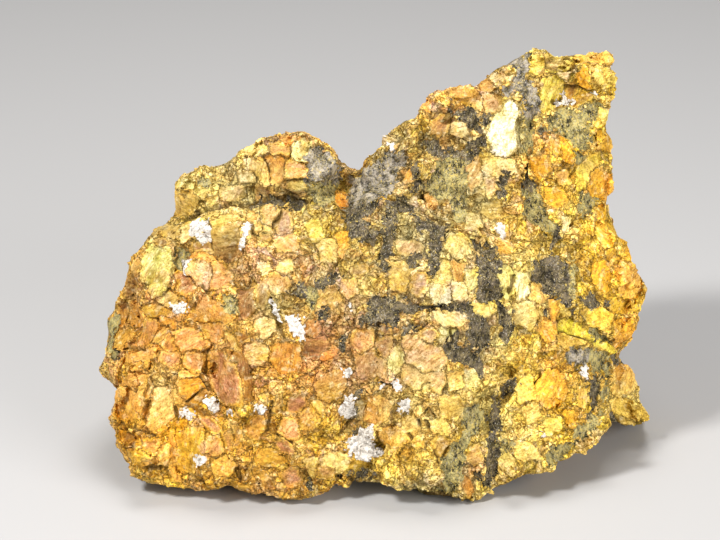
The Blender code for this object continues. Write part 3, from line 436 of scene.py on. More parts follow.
# Host rock on the show face: its kind and its corners.
HOST_PATCHES = [
    # the seam down from the peak
    ("grey", [(503, 66), (515, 55), (528, 53), (532, 62), (527, 76), (534, 84), (541, 100), (537, 118),
        (531, 122), (524, 118), (526, 100), (516, 92), (505, 98), (501, 90), (510, 84), (515, 80),
        (512, 70)]),
    ("olive", [(526, 104), (531, 106), (531, 134), (536, 142), (532, 156), (522, 154), (522, 144),
        (526, 134)]),
    ("dark", [(539, 125), (544, 126), (546, 136), (541, 139), (538, 132)]),
    ("dark", [(527, 160), (530, 160), (532, 175), (536, 190), (531, 196), (524, 190), (523, 172)]),
    ("olive", [(524, 190), (536, 190), (542, 202), (550, 215), (556, 225), (552, 234), (544, 234),
        (535, 226), (524, 218), (519, 206), (521, 196)]),
    ("dark", [(553, 224), (559, 228), (558, 238), (553, 250), (548, 258), (544, 256), (550, 240)]),
    ("dark", [(537, 262), (545, 255), (558, 256), (566, 262), (572, 275), (570, 292), (574, 305),
        (572, 318), (566, 304), (560, 296), (550, 296), (543, 288), (534, 282), (534, 270)]),
    ("olive", [(566, 258), (576, 258), (580, 272), (577, 292), (572, 300), (570, 285), (572, 272)]),
    # the right side
    ("olive", [(552, 112), (566, 108), (580, 112), (590, 100), (600, 103), (598, 112), (588, 124),
        (590, 140), (590, 150), (576, 152), (572, 142), (560, 134), (545, 132), (543, 118)]),
    ("olive", [(574, 152), (584, 154), (582, 166), (578, 168), (575, 160)]),
    ("olive", [(582, 194), (590, 196), (597, 203), (594, 214), (580, 217), (576, 208)]),
    ("dark", [(580, 298), (590, 294), (598, 300), (597, 308), (586, 308), (580, 316)]),
    ("dark", [(599, 303), (605, 300), (610, 303), (609, 308), (600, 308)]),
    ("olive", [(588, 328), (600, 332), (612, 336), (611, 348), (600, 342), (590, 334)]),
    ("olive", [(590, 346), (604, 350), (612, 356), (606, 372), (596, 372), (588, 360)]),
    ("dark", [(611, 352), (619, 353), (618, 364), (612, 366)]),
    ("dark", [(586, 378), (590, 372), (597, 376), (601, 384), (599, 398), (596, 408), (592, 418),
        (586, 424), (578, 426), (586, 416), (590, 408), (588, 396), (583, 388)]),
    ("olive", [(576, 424), (590, 418), (598, 410), (602, 420), (592, 434), (580, 440), (572, 436)]),
    ("olive", [(600, 366), (607, 364), (609, 400), (603, 404), (602, 384)]),
    ("olive", [(545, 446), (560, 442), (580, 442), (574, 450), (564, 452), (560, 464), (550, 470),
        (542, 462)]),
    ("grey", [(566, 352), (580, 346), (590, 350), (586, 362), (572, 366), (560, 360)]),
    ("dark", [(544, 304), (549, 306), (547, 316), (543, 314)]),
    # the crown
    ("dark", [(452, 116), (460, 110), (468, 106), (476, 112), (480, 120), (488, 112), (493, 115),
        (486, 126), (478, 124), (480, 134), (472, 130), (466, 124), (458, 122)]),
    ("dark", [(445, 103), (452, 100), (455, 108), (450, 113)]),
    ("dark", [(420, 143), (436, 141), (446, 148), (460, 151), (466, 138), (480, 135), (491, 136),
        (490, 142), (480, 148), (476, 157), (466, 162), (448, 160), (430, 154)]),
    ("olive", [(438, 160), (452, 158), (468, 160), (468, 190), (464, 205), (466, 216), (459, 224),
        (455, 214), (448, 200), (436, 200), (424, 190), (424, 180), (436, 172)]),
    ("dark", [(446, 192), (460, 190), (462, 200), (456, 208), (448, 202)]),
    ("dark", [(412, 160), (416, 160), (418, 176), (424, 178), (421, 192), (410, 192), (413, 178)]),
    ("dark", [(499, 178), (506, 172), (511, 175), (507, 185), (508, 193), (503, 199), (496, 194),
        (502, 190)]),
    # around the notch
    ("grey", [(346, 180), (356, 176), (372, 162), (392, 150), (404, 152), (402, 164), (398, 180),
        (396, 192), (380, 198), (364, 204), (350, 206), (347, 196)]),
    ("dark", [(342, 206), (352, 206), (362, 204), (380, 200), (384, 206), (372, 212), (366, 216),
        (366, 226), (380, 232), (372, 246), (360, 240), (350, 238), (345, 228), (343, 216)]),
    ("dark", [(384, 202), (397, 204), (397, 235), (393, 256), (386, 272), (379, 268), (378, 256),
        (383, 235)]),
    ("dark", [(395, 200), (405, 198), (418, 210), (416, 216), (404, 212), (397, 212)]),
    ("dark", [(416, 214), (430, 222), (446, 226), (441, 250), (436, 275), (430, 276), (428, 262),
        (426, 250), (432, 242), (424, 232), (416, 238), (412, 228)]),
    ("dark", [(408, 258), (416, 250), (424, 254), (418, 266), (410, 268)]),
    ("dark", [(472, 237), (480, 238), (492, 247), (500, 252), (500, 262), (481, 258)]),
    # the comet and the bands beside it
    ("dark", [(480, 258), (500, 256), (500, 285), (504, 300), (512, 312), (514, 330), (508, 342),
        (500, 342), (495, 336), (500, 325), (498, 312), (492, 302), (478, 300), (476, 285)]),
    ("dark", [(366, 304), (375, 298), (386, 293), (400, 297), (407, 301), (402, 303), (430, 306),
        (470, 304), (474, 312), (486, 318), (490, 325), (488, 340), (484, 350), (472, 350), (468, 340),
        (466, 330), (470, 320), (464, 311), (430, 312), (402, 313), (400, 322), (392, 328), (384, 322),
        (372, 328), (360, 322)]),
    ("dark", [(400, 336), (404, 326), (414, 322), (426, 325), (420, 330), (408, 335)]),
    ("dark", [(440, 346), (454, 336), (458, 334), (456, 345), (470, 350), (482, 352), (484, 372),
        (480, 378), (474, 368), (458, 366), (448, 360)]),
    # the vein down to the foot
    ("dark", [(514, 376), (517, 382), (506, 396), (503, 404), (503, 415), (500, 430), (498, 440),
        (496, 470), (488, 488), (482, 486), (482, 472), (486, 455), (486, 440), (488, 425), (492, 416),
        (497, 402), (500, 392)]),
    ("olive", [(470, 408), (478, 406), (484, 415), (480, 430), (470, 438), (464, 448), (468, 456),
        (462, 470), (466, 480), (452, 494), (444, 490), (442, 474), (434, 470), (442, 458), (450, 444),
        (462, 438), (468, 430), (466, 418)]),
    ("dark", [(470, 468), (481, 470), (480, 480), (473, 476)]),
    ("olive", [(498, 432), (508, 436), (512, 448), (500, 450)]),
    # the dome and its right side
    ("grey", [(306, 158), (312, 146), (322, 146), (336, 158), (340, 170), (342, 180), (330, 182),
        (308, 181), (306, 172)]),
    ("olive", [(308, 184), (334, 184), (336, 196), (328, 206), (312, 204), (306, 194)]),
    # The dark seam along the ledge under the dome: host rock, and painted shadow under the ledge.
    ("dark", [(288, 200), (308, 202), (310, 210), (300, 213), (290, 208)]),
    ("dark", [(250, 201), (268, 197), (290, 197), (308, 202), (308, 208), (290, 206), (266, 203),
        (252, 205)]),
    ("olive", [(196, 179), (208, 178), (209, 186), (200, 188)]),
    # spots, pits and gaps
    ("dark", [(296, 279), (304, 279), (308, 288), (306, 296), (296, 297), (286, 297), (284, 294),
        (294, 290)]),
    ("dark", [(316, 284), (320, 279), (328, 274), (336, 273), (342, 276), (334, 284), (322, 288)]),
    ("olive", [(308, 286), (316, 290), (318, 302), (312, 308), (306, 296)]),
    ("dark", [(322, 310), (328, 311), (327, 322), (320, 322), (316, 318)]),
    ("dark", [(342, 338), (347, 332), (347, 350), (344, 356), (341, 350)]),
    ("olive", [(173, 262), (178, 248), (186, 247), (188, 258), (185, 274), (175, 272)]),
    ("olive", [(222, 298), (236, 298), (238, 314), (226, 312)]),
    ("olive", [(108, 314), (118, 313), (116, 328), (112, 345), (118, 356), (112, 360), (106, 345),
        (107, 326)]),
    ("dark", [(112, 342), (118, 350), (122, 362), (118, 368), (113, 356)]),
    ("dark", [(355, 392), (361, 389), (361, 402), (356, 400)]),
    ("dark", [(350, 404), (354, 408), (355, 424), (351, 418)]),
    ("dark", [(352, 430), (362, 430), (360, 438), (354, 440)]),
    ("dark", [(381, 384), (386, 378), (392, 380), (393, 387), (387, 386)]),
    ("dark", [(364, 456), (370, 457), (372, 463), (366, 464)]),
    ("dark", [(308, 477), (313, 478), (312, 492), (308, 490)]),
    ("dark", [(334, 473), (352, 473), (372, 471), (374, 478), (340, 480)]),
    ("olive", [(402, 484), (424, 488), (446, 490), (446, 496), (420, 494), (404, 490)]),
]

# White crystal crusts on the show face.
CRUSTS = [
    [(193, 223), (207, 220), (212, 228), (212, 240), (208, 245), (200, 243), (192, 233)],
    [(247, 222), (250, 223), (247, 240), (243, 253), (238, 252), (241, 242)],
    [(185, 262), (190, 261), (194, 266), (191, 272), (185, 270)],
    [(172, 305), (180, 304), (188, 310), (184, 314), (176, 312)],
    [(180, 410), (188, 408), (196, 414), (190, 418), (181, 416)],
    [(206, 396), (214, 398), (222, 410), (214, 412), (206, 404)],
    [(228, 410), (235, 411), (234, 418), (229, 416)],
    [(256, 408), (262, 406), (266, 410), (262, 416), (256, 416)],
    [(194, 457), (206, 454), (207, 461), (201, 466)],
    [(288, 314), (297, 312), (306, 324), (306, 338), (298, 340), (290, 334), (287, 322)],
    [(269, 299), (274, 302), (280, 312), (282, 322), (278, 322), (273, 308)],
    [(344, 396), (352, 392), (357, 398), (350, 404), (352, 418), (350, 424), (340, 414), (336, 410),
        (344, 402)],
    [(345, 444), (356, 438), (364, 428), (372, 426), (372, 446), (385, 452), (374, 456), (366, 462),
        (354, 456), (344, 452)],
    [(377, 386), (382, 382), (380, 390)],
    [(392, 380), (398, 382), (401, 390), (394, 392)],
    [(396, 402), (406, 400), (410, 408), (408, 414), (398, 412)],
    [(344, 370), (350, 369), (350, 376), (345, 376)],
    [(349, 302), (353, 303), (352, 311), (348, 309)],
    [(563, 92), (567, 99), (572, 103), (568, 107), (558, 104), (560, 97)],
    [(592, 90), (600, 91), (598, 95), (593, 94)],
    [(499, 222), (506, 228), (508, 236), (503, 238), (497, 230)],
    [(581, 367), (586, 369), (584, 376), (581, 374)],
    [(540, 430), (545, 431), (544, 437), (540, 436)],
    [(390, 144), (398, 145), (396, 151), (390, 150)],
]

# Cracks of the show face: the places along each, and its half width in millimetres. Each is cut in
# as a hollow and painted dark brown, painted shade in the crack.
CRACKS = [
    ([(184, 220), (196, 212), (214, 210), (230, 205), (246, 203), (262, 200), (270, 197), (290, 199),
        (306, 202)], 0.45),
    ([(268, 188), (284, 181), (300, 180), (316, 184), (340, 181)], 0.35),
    ([(118, 424), (130, 425), (144, 431), (158, 437)], 0.3),
    ([(201, 366), (206, 378), (210, 390)], 0.5),
    ([(208, 221), (211, 228)], 0.3),
    ([(250, 222), (254, 234)], 0.5),
    ([(281, 211), (277, 224)], 0.45),
    ([(262, 156), (268, 164), (270, 172)], 0.25),
    ([(196, 306), (198, 299)], 0.35),
    ([(186, 402), (202, 390)], 0.3),
    ([(174, 404), (177, 420)], 0.35),
    ([(202, 286), (208, 294)], 0.5),
    ([(510, 292), (513, 277)], 0.45),
    ([(488, 397), (500, 399)], 0.25),
    ([(560, 328), (578, 335), (594, 342)], 0.3),
    ([(596, 290), (600, 300)], 0.4),
    ([(540, 370), (536, 384)], 0.3),
    ([(546, 66), (556, 65), (562, 68), (568, 67), (573, 63)], 0.3),
    ([(556, 101), (560, 103)], 0.4),
    ([(434, 451), (438, 462)], 0.45),
    ([(440, 459), (449, 446)], 0.3),
    ([(409, 434), (412, 438)], 0.45),
    ([(424, 413), (429, 407), (433, 416)], 0.25),
    ([(566, 89), (580, 88), (592, 88)], 0.35),
    ([(272, 402), (270, 418), (266, 432)], 0.45),
    ([(276, 436), (292, 442)], 0.5),
    ([(269, 300), (276, 318), (284, 338)], 0.4),
    ([(350, 350), (353, 360)], 0.4),
    ([(419, 420), (420, 424)], 0.4),
    ([(426, 421), (429, 426)], 0.5),
    ([(350, 479), (380, 486), (412, 492), (450, 494)], 0.6),
    ([(147, 468), (160, 467)], 0.7),
    ([(384, 196), (405, 204), (430, 218), (462, 232), (482, 240)], 0.2),
    ([(146, 350), (126, 349)], 0.3),
    ([(150, 376), (156, 386)], 0.25),
    ([(614, 264), (617, 271)], 0.3),
    ([(612, 312), (604, 308)], 0.3),
    ([(576, 216), (570, 226)], 0.3),
    ([(450, 330), (452, 342)], 0.25),
    ([(236, 470), (240, 478)], 0.5),
]

# The part of a facet's rise that it keeps, and how far facets grow past their corners.
FACET_RISE = 0.6
FACET_GROWTH_MM = 0.6
# The share of its own lean, and of the slope of the rock under it, that a facet takes.
FACET_LEAN = 1.1
FACET_SLOPE = 0.85
# How far a facet is bowed outwards or inwards at its middle, against its edges.
FACET_BOW_MM = 0.2
# How far apart a facet's ribs are.
RIB_SPACING_MM = 1.1
# How far the chips of the rock's fabric break up the borders of the facets, and of host rock.
BORDER_CHIPS_MM = np.array((0.35, 0.45))
HOST_CHIPS_MM = np.array((1.3, 1.3))
# The rock's fabric is facets of three sizes.
LARGE_CELL = 9.5 * MM
LARGE_SEED = 101
MIDDLE_CELL = 4.6 * MM
SMALL_CELL = 2.1 * MM
# The skin is fused at this voxel, smoothed this many times, and thinned to this many triangles for
# each piece. Sides that meet at more than the sharp angle show an edge.
SKIN_VOXEL = 0.31 * MM
SKIN_SMOOTHING = 32
SKIN_TRIANGLES = 195_000
SHARP_ANGLE = math.radians(18)
# The skin is three closed pieces that lap over each other by this much: what lies this far behind
# the lump's outer edge, and the show face's parts to the left and right of this place. Each is
# closed by sides that run to the heart, deep in the rock.
SKIN_LAP_MM = 1.0
SKIN_CUT_MM = 7.0
SKIN_SPLIT_MM = 4.0
SKIN_HEART = np.array((6.0, 4.0, 38.0)) * MM

# Facets whose paint keeps to the middle, with a golden rim.
CORED = ("rose", "rust", "peach", "tan")
# How likely each paint is in a cell of the rock's fabric, and how much of the colour the large,
# middle and small cells give.
CELL_PAINTS = {
    "gold": 0.3, "peach": 0.16, "cream": 0.22, "orange": 0.08, "tan": 0.06, "brown": 0.04,
    "rose": 0.04, "lemon": 0.1,
}
CELL_SHARES = (0.25, 0.32, 0.2)
# Red, green and blue follow the fabric's tone to these powers, so that dark rock is warmer.
TONE_POWERS = (0.9, 1.0, 1.5)
# Painted light: the sides and back are painted lighter, in place of a lamp that would light them.
# How much lighter the paint is where no listed facets lie, on the sides and back.
HIDDEN_PAINTED_LIGHT = 1.3

# Cleavage blades and crust crystals are closed slabs with this many corners. A share of the blades'
# bundles stand edge on, and each blade's highest corner stands out by a length in this range. No
# slab comes nearer to the floor than this gap.
CORNERS = 5
EDGE_ON_SHARE = 0.12
BLADE_RISE_MM = (0.02, 0.2)
FLOOR_GAP = 0.05 * MM
# The blades' pieces: a name, the most that are kept, the seed, their length in millimetres, and how
# likely one is to be kept on a facet.
BLADE_SETS = [
    ("large_blades", 1000, 401, 3.2, 0.02),
    ("middle_blades", 3000, 402, 2.2, 0.04),
    ("small_blades", 5000, 403, 1.5, 0.08),
    ("chip_blades", 7000, 404, 0.9, 0.12),
]
# The most crystals that may be kept; few places lie on crusts, so about 600 are.
CRYSTAL_MOST = 16000
CRYSTAL_SEED = 405

# The lamps: a name, where it hangs in metres, its power in watts, the side of its square, and its
# colour. They all aim at the lump's middle.
LAMPS = [
    ("key", (-0.36, -0.38, 0.60), 6.8, 0.14, (1.0, 0.98, 0.94)),
    ("fill", (0.52, -0.55, 0.25), 5.9, 0.5, (1.0, 0.98, 0.95)),
    ("top", (0.05, 0.1, 0.7), 3, 0.3, (1.0, 0.98, 0.95)),
]
LAMP_AIM = Vector((0, 0, 0.04))
SKY_COLOUR = (1.0, 0.98, 0.94, 1)
SKY_STRENGTH = 0.21
FLOOR_COLOUR = (0.44, 0.44, 0.45, 1)
FLOOR_HALF = 3.0
SENSOR_MM = 36


def linear(name):
    """A paint as linear light: each part of 255 to the power 2.2."""
    return (np.array(PAINTS[name]) / 255) ** 2.2


def hashed(lattice, seed):
    """A fixed random number from 0 to 1 for each lattice cell: its three whole numbers are
    multiplied by large odd numbers, and the bits are mixed by shifts and products."""
    word = lattice[..., 0] * 73856093 ^ lattice[..., 1] * 19349663 ^ lattice[..., 2] * 83492791
    word = (word ^ (seed * 40503 + 12345)) & 0xFFFFFFFF
    word = ((word ^ (word >> 15)) * 2246822519) & 0xFFFFFFFF
    word = ((word ^ (word >> 13)) * 3266489917) & 0xFFFFFFFF
    return ((word ^ (word >> 16)) & 0xFFFFFF) / 0x1000000


def directions(lattice, seed):
    """A fixed random direction for each lattice cell: height is even from -1 to 1, and the
    heading is even round the circle."""
    height = 2 * hashed(lattice, seed) - 1
    heading = 2 * np.pi * hashed(lattice, seed + 1)
    level = np.sqrt(1 - height**2)
    return np.stack([level * np.cos(heading), level * np.sin(heading), height], axis=-1)


def noise(points, size, seed):
    """Smooth noise from -1 to 1: random values on a lattice of this size, blended between the
    eight corners of a cell by 3t^2 - 2t^3."""
    place = points / size
    base = np.floor(place).astype(np.int64)
    t = place - base
    t = t * t * (3 - 2 * t)
    total = np.zeros(len(points))
    for corner in np.ndindex(2, 2, 2):
        weight = np.prod(np.where(corner, t, 1 - t), axis=1)
        total += weight * hashed(base + np.array(corner), seed)
    return 2 * total - 1


def facets(points, size, seed):
    """Broken rock: flat facets between random heights at the corners of a skewed lattice. Each
    lattice cube is six tetrahedra, and the height runs straight between a tetrahedron's corners,
    weighted by the differences of the place's ordered fractions. Returns heights from -1 to 1,
    and three whole numbers that name each tetrahedron."""
    place = points / size
    skewed = place + place.sum(axis=1, keepdims=True) / 3
    corner = np.floor(skewed).astype(np.int64)
    fraction = skewed - corner
    order = np.argsort(-fraction, axis=1)
    ranked = np.take_along_axis(fraction, order, axis=1)
    facet = corner * np.array((9, 1, 1))
    facet[:, 0] += order[:, 0] + 3 * order[:, 1]
    height = (1 - ranked[:, 0]) * hashed(corner, seed)
    rows = np.arange(len(points))
    for k in range(3):
        corner[rows, order[:, k]] += 1
        weight = ranked[:, k] - (ranked[:, k + 1] if k < 2 else 0)
        height += weight * hashed(corner, seed)
    return 2 * height - 1, facet


def bent_facets(points, size, seed):
    """Facets whose lattice is itself bent by larger facets, so their sizes and edges vary but they
    stay flat."""
    bend = [facets(points, 1.9 * size, seed + 10 + k)[0] for k in range(3)]
    return facets(points + 0.5 * size * np.stack(bend, axis=1), size, seed)


def smooth(x, low, high):
    """0 below low, 1 above high, and 3t^2 - 2t^3 between them."""
    t = np.clip((x - low) / (high - low), 0, 1)
    return t * t * (3 - 2 * t)


def unit(vectors):
    """Each vector divided by its length."""
    return vectors / np.maximum(np.linalg.norm(vectors, axis=-1, keepdims=True), 1e-12)


def share_of(index, step=0.618):
    """A number from 0 to 1 that differs between neighbours: the fraction of the index times the
    step."""
    return step * index % 1


def blend(a, b, amount):
    """a where the amount is 0, b where it is 1; an amount for each row, or one for them all."""
    amount = np.asarray(amount)
    if np.ndim(a) > amount.ndim:
        amount = amount[..., None]
    return a * (1 - amount) + b * amount


def on_face(points):
    """Places on the face plane, in millimetres right and up, and depths behind it: a point's
    sideways offset from the middle, drawn larger or smaller by how near the eye it is."""
    offset = points - FACE_MIDDLE
    depth = offset @ AWAY
    nearness = EYE_DISTANCE / (EYE_DISTANCE + depth)
    place = np.stack([offset @ RIGHT * nearness, offset @ UP * nearness], axis=1)
    return place / MM, depth / MM


def face_places(pixels):
    """The face-plane places, in millimetres, of pixels of the view."""
    pixels = np.array(pixels, float)
    middle = np.array((VIEW_WIDTH, VIEW_HEIGHT)) / 2
    return (pixels - middle) * np.array((PIXEL_MM, -PIXEL_MM))


def behind_edge(place, depth):
    """How far behind the lump's outer edge a place lies, in millimetres."""
    foot = np.interp(place[:, 1], FOOT_SPAN, (1, 0))
    crest = np.interp(place[:, 1], CREST_SPAN, (0, 1))
    toes = np.interp(place[:, 0], TOES_RIGHT_SPAN, (0, 1))
    toes *= np.interp(place[:, 1], TOES_UP_SPAN, (1, 0))
    edge = EDGE_DEPTH_MM + FOOT_DEPTH_MM * foot + CREST_DEPTH_MM * crest + TOES_DEPTH_MM * toes
    return depth - edge


def shown(place, depth):
    """1 on what lies in front of the lump's outer edge, as seen from the eye, and 0 behind it."""
    return 1 - smooth(behind_edge(place, depth), 4, 9)


def line_distance(place, start, end):
    """How far each place is from a straight run: the place's part along the run, kept between its
    ends, gives the nearest point."""
    run = end - start
    along = np.clip(((place - start) @ run) / max(run @ run, 1e-9), 0, 1)
    return np.linalg.norm(place - start - along[:, None] * run, axis=1)


def inside(place, pixels, margin):
    """The indices of the places near a polygon, and how far each is inside its edge, negative
    outside: the least distance to a side, with its sign from how often a level line crosses."""
    corners = face_places(pixels)
    low, high = corners.min(axis=0) - margin, corners.max(axis=0) + margin
    near = np.flatnonzero(np.all((place > low) & (place < high), axis=1))
    spot = place[near]
    away = np.full(len(near), np.inf)
    odd = np.zeros(len(near), bool)
    for start, end in zip(corners, np.roll(corners, -1, axis=0)):
        away = np.minimum(away, line_distance(spot, start, end))
        crosses = (start[1] > spot[:, 1]) != (end[1] > spot[:, 1])
        rise = end[1] - start[1] if end[1] != start[1] else 1.0
        level = start[0] + (spot[:, 1] - start[1]) / rise * (end[0] - start[0])
        odd ^= crosses & (spot[:, 0] < level)
    return near, np.where(odd, away, -away)


def facets_at(place):
    """For each place the facet that it is on, or -1, and how far it is from that facet's border, in
    millimetres. Facets grow outwards until they meet, and a later one lies over an earlier one."""
    which = np.full(len(place), -1)
    own = np.full(len(place), -9.0)
    other = np.full(len(place), -9.0)
    for index, facet in enumerate(FACETS):
        near, distance = inside(place, facet[-1], FACET_GROWTH_MM + 0.2)
        before = own[near]
        taken = (distance > 0) | ((before <= 0) & (distance > before))
        rival = np.where(taken, np.where(before > 0, -distance, before), distance)
        other[near] = np.maximum(other[near], np.minimum(rival, 0))
        own[near] = np.where(taken, distance, before)
        which[near[taken]] = index
    depth_in = np.minimum(own + FACET_GROWTH_MM, (own - other) / 2)
    return np.where(depth_in > 0, which, -1), np.maximum(depth_in, 0)


def line_marks(place, marks, softness):
    """1 on the lines, 0 away from them: the half width less the distance to the nearest stretch,
    softened over this many millimetres to either side."""
    most = np.full(len(place), -9.0)
    for pixels, half_width in marks:
        spots = face_places(pixels)
        for start, end in zip(spots[:-1], spots[1:]):
            most = np.maximum(most, half_width - line_distance(place, start, end))
    return smooth(most, -softness, softness)


def fabric(points):
    """The rock's broken fabric, the same at a point whatever asks for it: facets of three sizes,
    each with its own small step up or down. Returns the height in metres, three random numbers for
    the point's facets, how light they are, which is more the higher they stand, as painted shade in
    the low places and painted light on the high ones, and the way that the grain of the middle one
    runs."""
    large, facet_a = bent_facets(points, LARGE_CELL, LARGE_SEED)
    middle, facet_b = bent_facets(points, MIDDLE_CELL, 131)
    small, facet_c = bent_facets(points, SMALL_CELL, 161)
    chance = np.stack([hashed(facet_a, 119), hashed(facet_b, 139), hashed(facet_c, 169)], axis=1)
    drop = np.stack([hashed(facet_a, 127), hashed(facet_b, 147), hashed(facet_c, 177)], axis=1)
    height = 1.4 * large + 0.9 * middle + 0.35 * small
    # Painted light and shade: facets that stand higher are lighter and lower ones darker, so the relief
    # reads.
    tone = drop @ (0.42, 0.22, 0.08) + 0.28 * smooth(height, -1, 1)
    height += (drop - 0.5) @ (0.5, 0.45, 0.25)
    return height * MM, chance, tone, directions(facet_b, 151)


def cell_paint(chance):
    """A paint for each chance from 0 to 1, as often as CELL_PAINTS says."""
    steps = np.cumsum(list(CELL_PAINTS.values()))
    colours = np.array([linear(name) for name in CELL_PAINTS])
    return colours[np.minimum(np.searchsorted(steps / steps[-1], chance), len(colours) - 1)]


def ground_colour(place):
    """The broad colour of the show face: the grounds' paints, each weighted by exp(-(d / reach)^2)."""
    total = np.full(len(place), 0.02)
    colour = total[:, None] * linear("gold")
    for name, x, y, reach in GROUNDS:
        away = np.linalg.norm(place - face_places((x, y)), axis=1) / (reach * PIXEL_MM)
        weight = np.exp(-np.minimum(away**2, 30))
        total += weight
        colour += weight[:, None] * linear(name)
    return colour / total[:, None]


def veil_and_light_at(place, paint):
    """How thick the veils of a paint lie, as dust, stain, painted light and painted shade: 1 less the
    product of what each one leaves bare.
    """
    bare = np.ones(len(place))
    for name, x, y, reach, most in VEILS_AND_PAINTED_LIGHT:
        if name == paint:
            away = np.linalg.norm(place - face_places((x, y)), axis=1) / (reach * PIXEL_MM)
            bare *= 1 - most * np.exp(-np.minimum(away**2, 30))
    return 1 - bare


def hidden_colour(points):
    """The broad colour of the sides, back and underside: gold, drifting to orange, cream, peach and
    tan where a noise for each is high."""
    colour = np.tile(linear("gold"), (len(points), 1))
    for name, size, seed in (("orange", 19, 51), ("cream", 14, 52), ("peach", 17, 53), ("tan", 12, 54)):
        colour = blend(colour, linear(name), 0.8 * smooth(noise(points, size * MM, seed), 0.1, 0.6))
    return colour


def bare_colour(points, place, front, chance, tone):
    """The rock's colour between facets: the broad colour, mixed with the own paints of the cells it
    lies in, times the fabric's tone to a power for each of red, green and blue; that tone is painted
    shade on low facets and painted light on high ones. Its blue goes up or down by exp(0.95 warmth),
    a number made of the cells' chances and a noise. Away from the show face the colour is lighter,
    painted light on the sides and back."""
    colour = blend(hidden_colour(points), ground_colour(place), front)
    for size, share in enumerate(CELL_SHARES):
        colour = blend(colour, cell_paint(chance[:, size]), share)
    colour *= (0.02 + 1.6 * tone)[:, None] ** TONE_POWERS
    warmth = chance @ (1.0, 0.7, 0.2) - 0.95 + 0.5 * noise(points, 4 * MM, 36)
    colour[:, 2] *= np.exp(0.95 * warmth)
    # Painted light: lighter paint on the sides and back, in place of a lamp there.
    colour *= blend(HIDDEN_PAINTED_LIGHT, 1.0, front)[:, None]
    return colour


def facet_colour(index, depth_in, blotch, mottle):
    """A facet's paint: its own lightness, mottled, and lighter along the border, a painted highlight
    on its edges. The cored paints keep to the middle of the facet, inside a golden rim, and a lighter
    facet has more blue."""
    name = FACETS[index][0]
    rim = linear("gold") if name in CORED else linear(name)
    core = smooth(depth_in + 0.5 * blotch, 0.1, 1.2) * (name in CORED)
    lightness = share_of(index)
    painted = blend(np.tile(rim, (len(depth_in), 1)), linear(name), core) * (0.74 + 0.36 * lightness)
    painted *= (1 + 0.2 * mottle)[:, None]
    painted[:, 2] *= np.exp(0.4 * mottle + 0.9 * (lightness - 0.5))
    # Painted highlight: a facet is lighter along its border, where its edges would catch the light.
    painted *= blend(1.25, 1.0, smooth(depth_in + 0.2 * blotch, 0.1, 0.7))[:, None]
    return painted


def paint_facets(colour, way, points, which, depth_in, ragged, mottle):
    """Changes the colour to the facets' paints, less where it is blotched or worn, and the way of
    the grain to that of their ribs."""
    blotch = noise(points, 1.6 * MM, 31)
    wear = noise(points, 3.4 * MM, 37)
    for index in np.unique(which[which >= 0]):
        chosen = np.flatnonzero(which == index)
        turn = math.radians(FACETS[index][3])
        way[chosen] = math.cos(turn) * RIGHT + math.sin(turn) * UP
        amount = smooth(depth_in[chosen] + 0.35 * ragged[chosen], -0.1, 0.6)
        amount *= 0.82 - 0.2 * smooth(blotch[chosen], 0.0, 0.6) - 0.35 * smooth(wear[chosen], 0.0, 0.6)
        painted = facet_colour(index, depth_in[chosen], blotch[chosen], mottle[chosen])
        colour[chosen] = blend(colour[chosen], painted, amount)


def host_at(points, broken_place, front, ragged):
    """How much host rock there is, and its paint: the listed patches, and behind the outer
    edge seams where a wide noise crosses 0 and patches where another is high."""
    host = np.zeros(len(points))
    host_colour = np.tile(linear("grey"), (len(points), 1))
    for name, pixels in HOST_PATCHES:
        near, distance = inside(broken_place, pixels, 2.0)
        amount = front[near] * smooth(distance + 0.8 * ragged[near], -0.55, 0.55)
        stronger = amount > host[near]
        host[near] = np.maximum(host[near], amount)
        host_colour[near[stronger]] = linear(name)
    wide = noise(points, 26 * MM, 23) + 0.5 * noise(points, 11 * MM, 24) + 0.05 * ragged
    seams = 1 - smooth(np.abs(wide), 0.02, 0.14)
    patchy = noise(points, 15 * MM, 25) + 0.4 * noise(points, 6 * MM, 26) + 0.12 * ragged
    behind = (1 - front) * np.maximum(seams, smooth(patchy, 0.42, 0.58))
    kind = smooth(noise(points, 9 * MM, 27), 0.0, 0.4)
    hidden_host = blend(np.tile(linear("dark"), (len(points), 1)), linear("olive"), kind)
    host_colour = np.where((behind > host)[:, None], hidden_host, host_colour)
    return np.maximum(host, behind), host_colour


def crust_at(points, broken_place, front, ragged):
    """How much white crust there is: the listed ones, and spots of a noise behind the outer
    edge."""
    crust = (1 - front) * smooth(noise(points, 5 * MM, 33) + 0.1 * ragged, 0.82, 0.9)
    for pixels in CRUSTS:
        near, distance = inside(broken_place, pixels, 1.0)
        amount = front[near] * smooth(distance + 0.5 * ragged[near], -0.2, 0.25)
        crust[near] = np.maximum(crust[near], amount)
    return crust


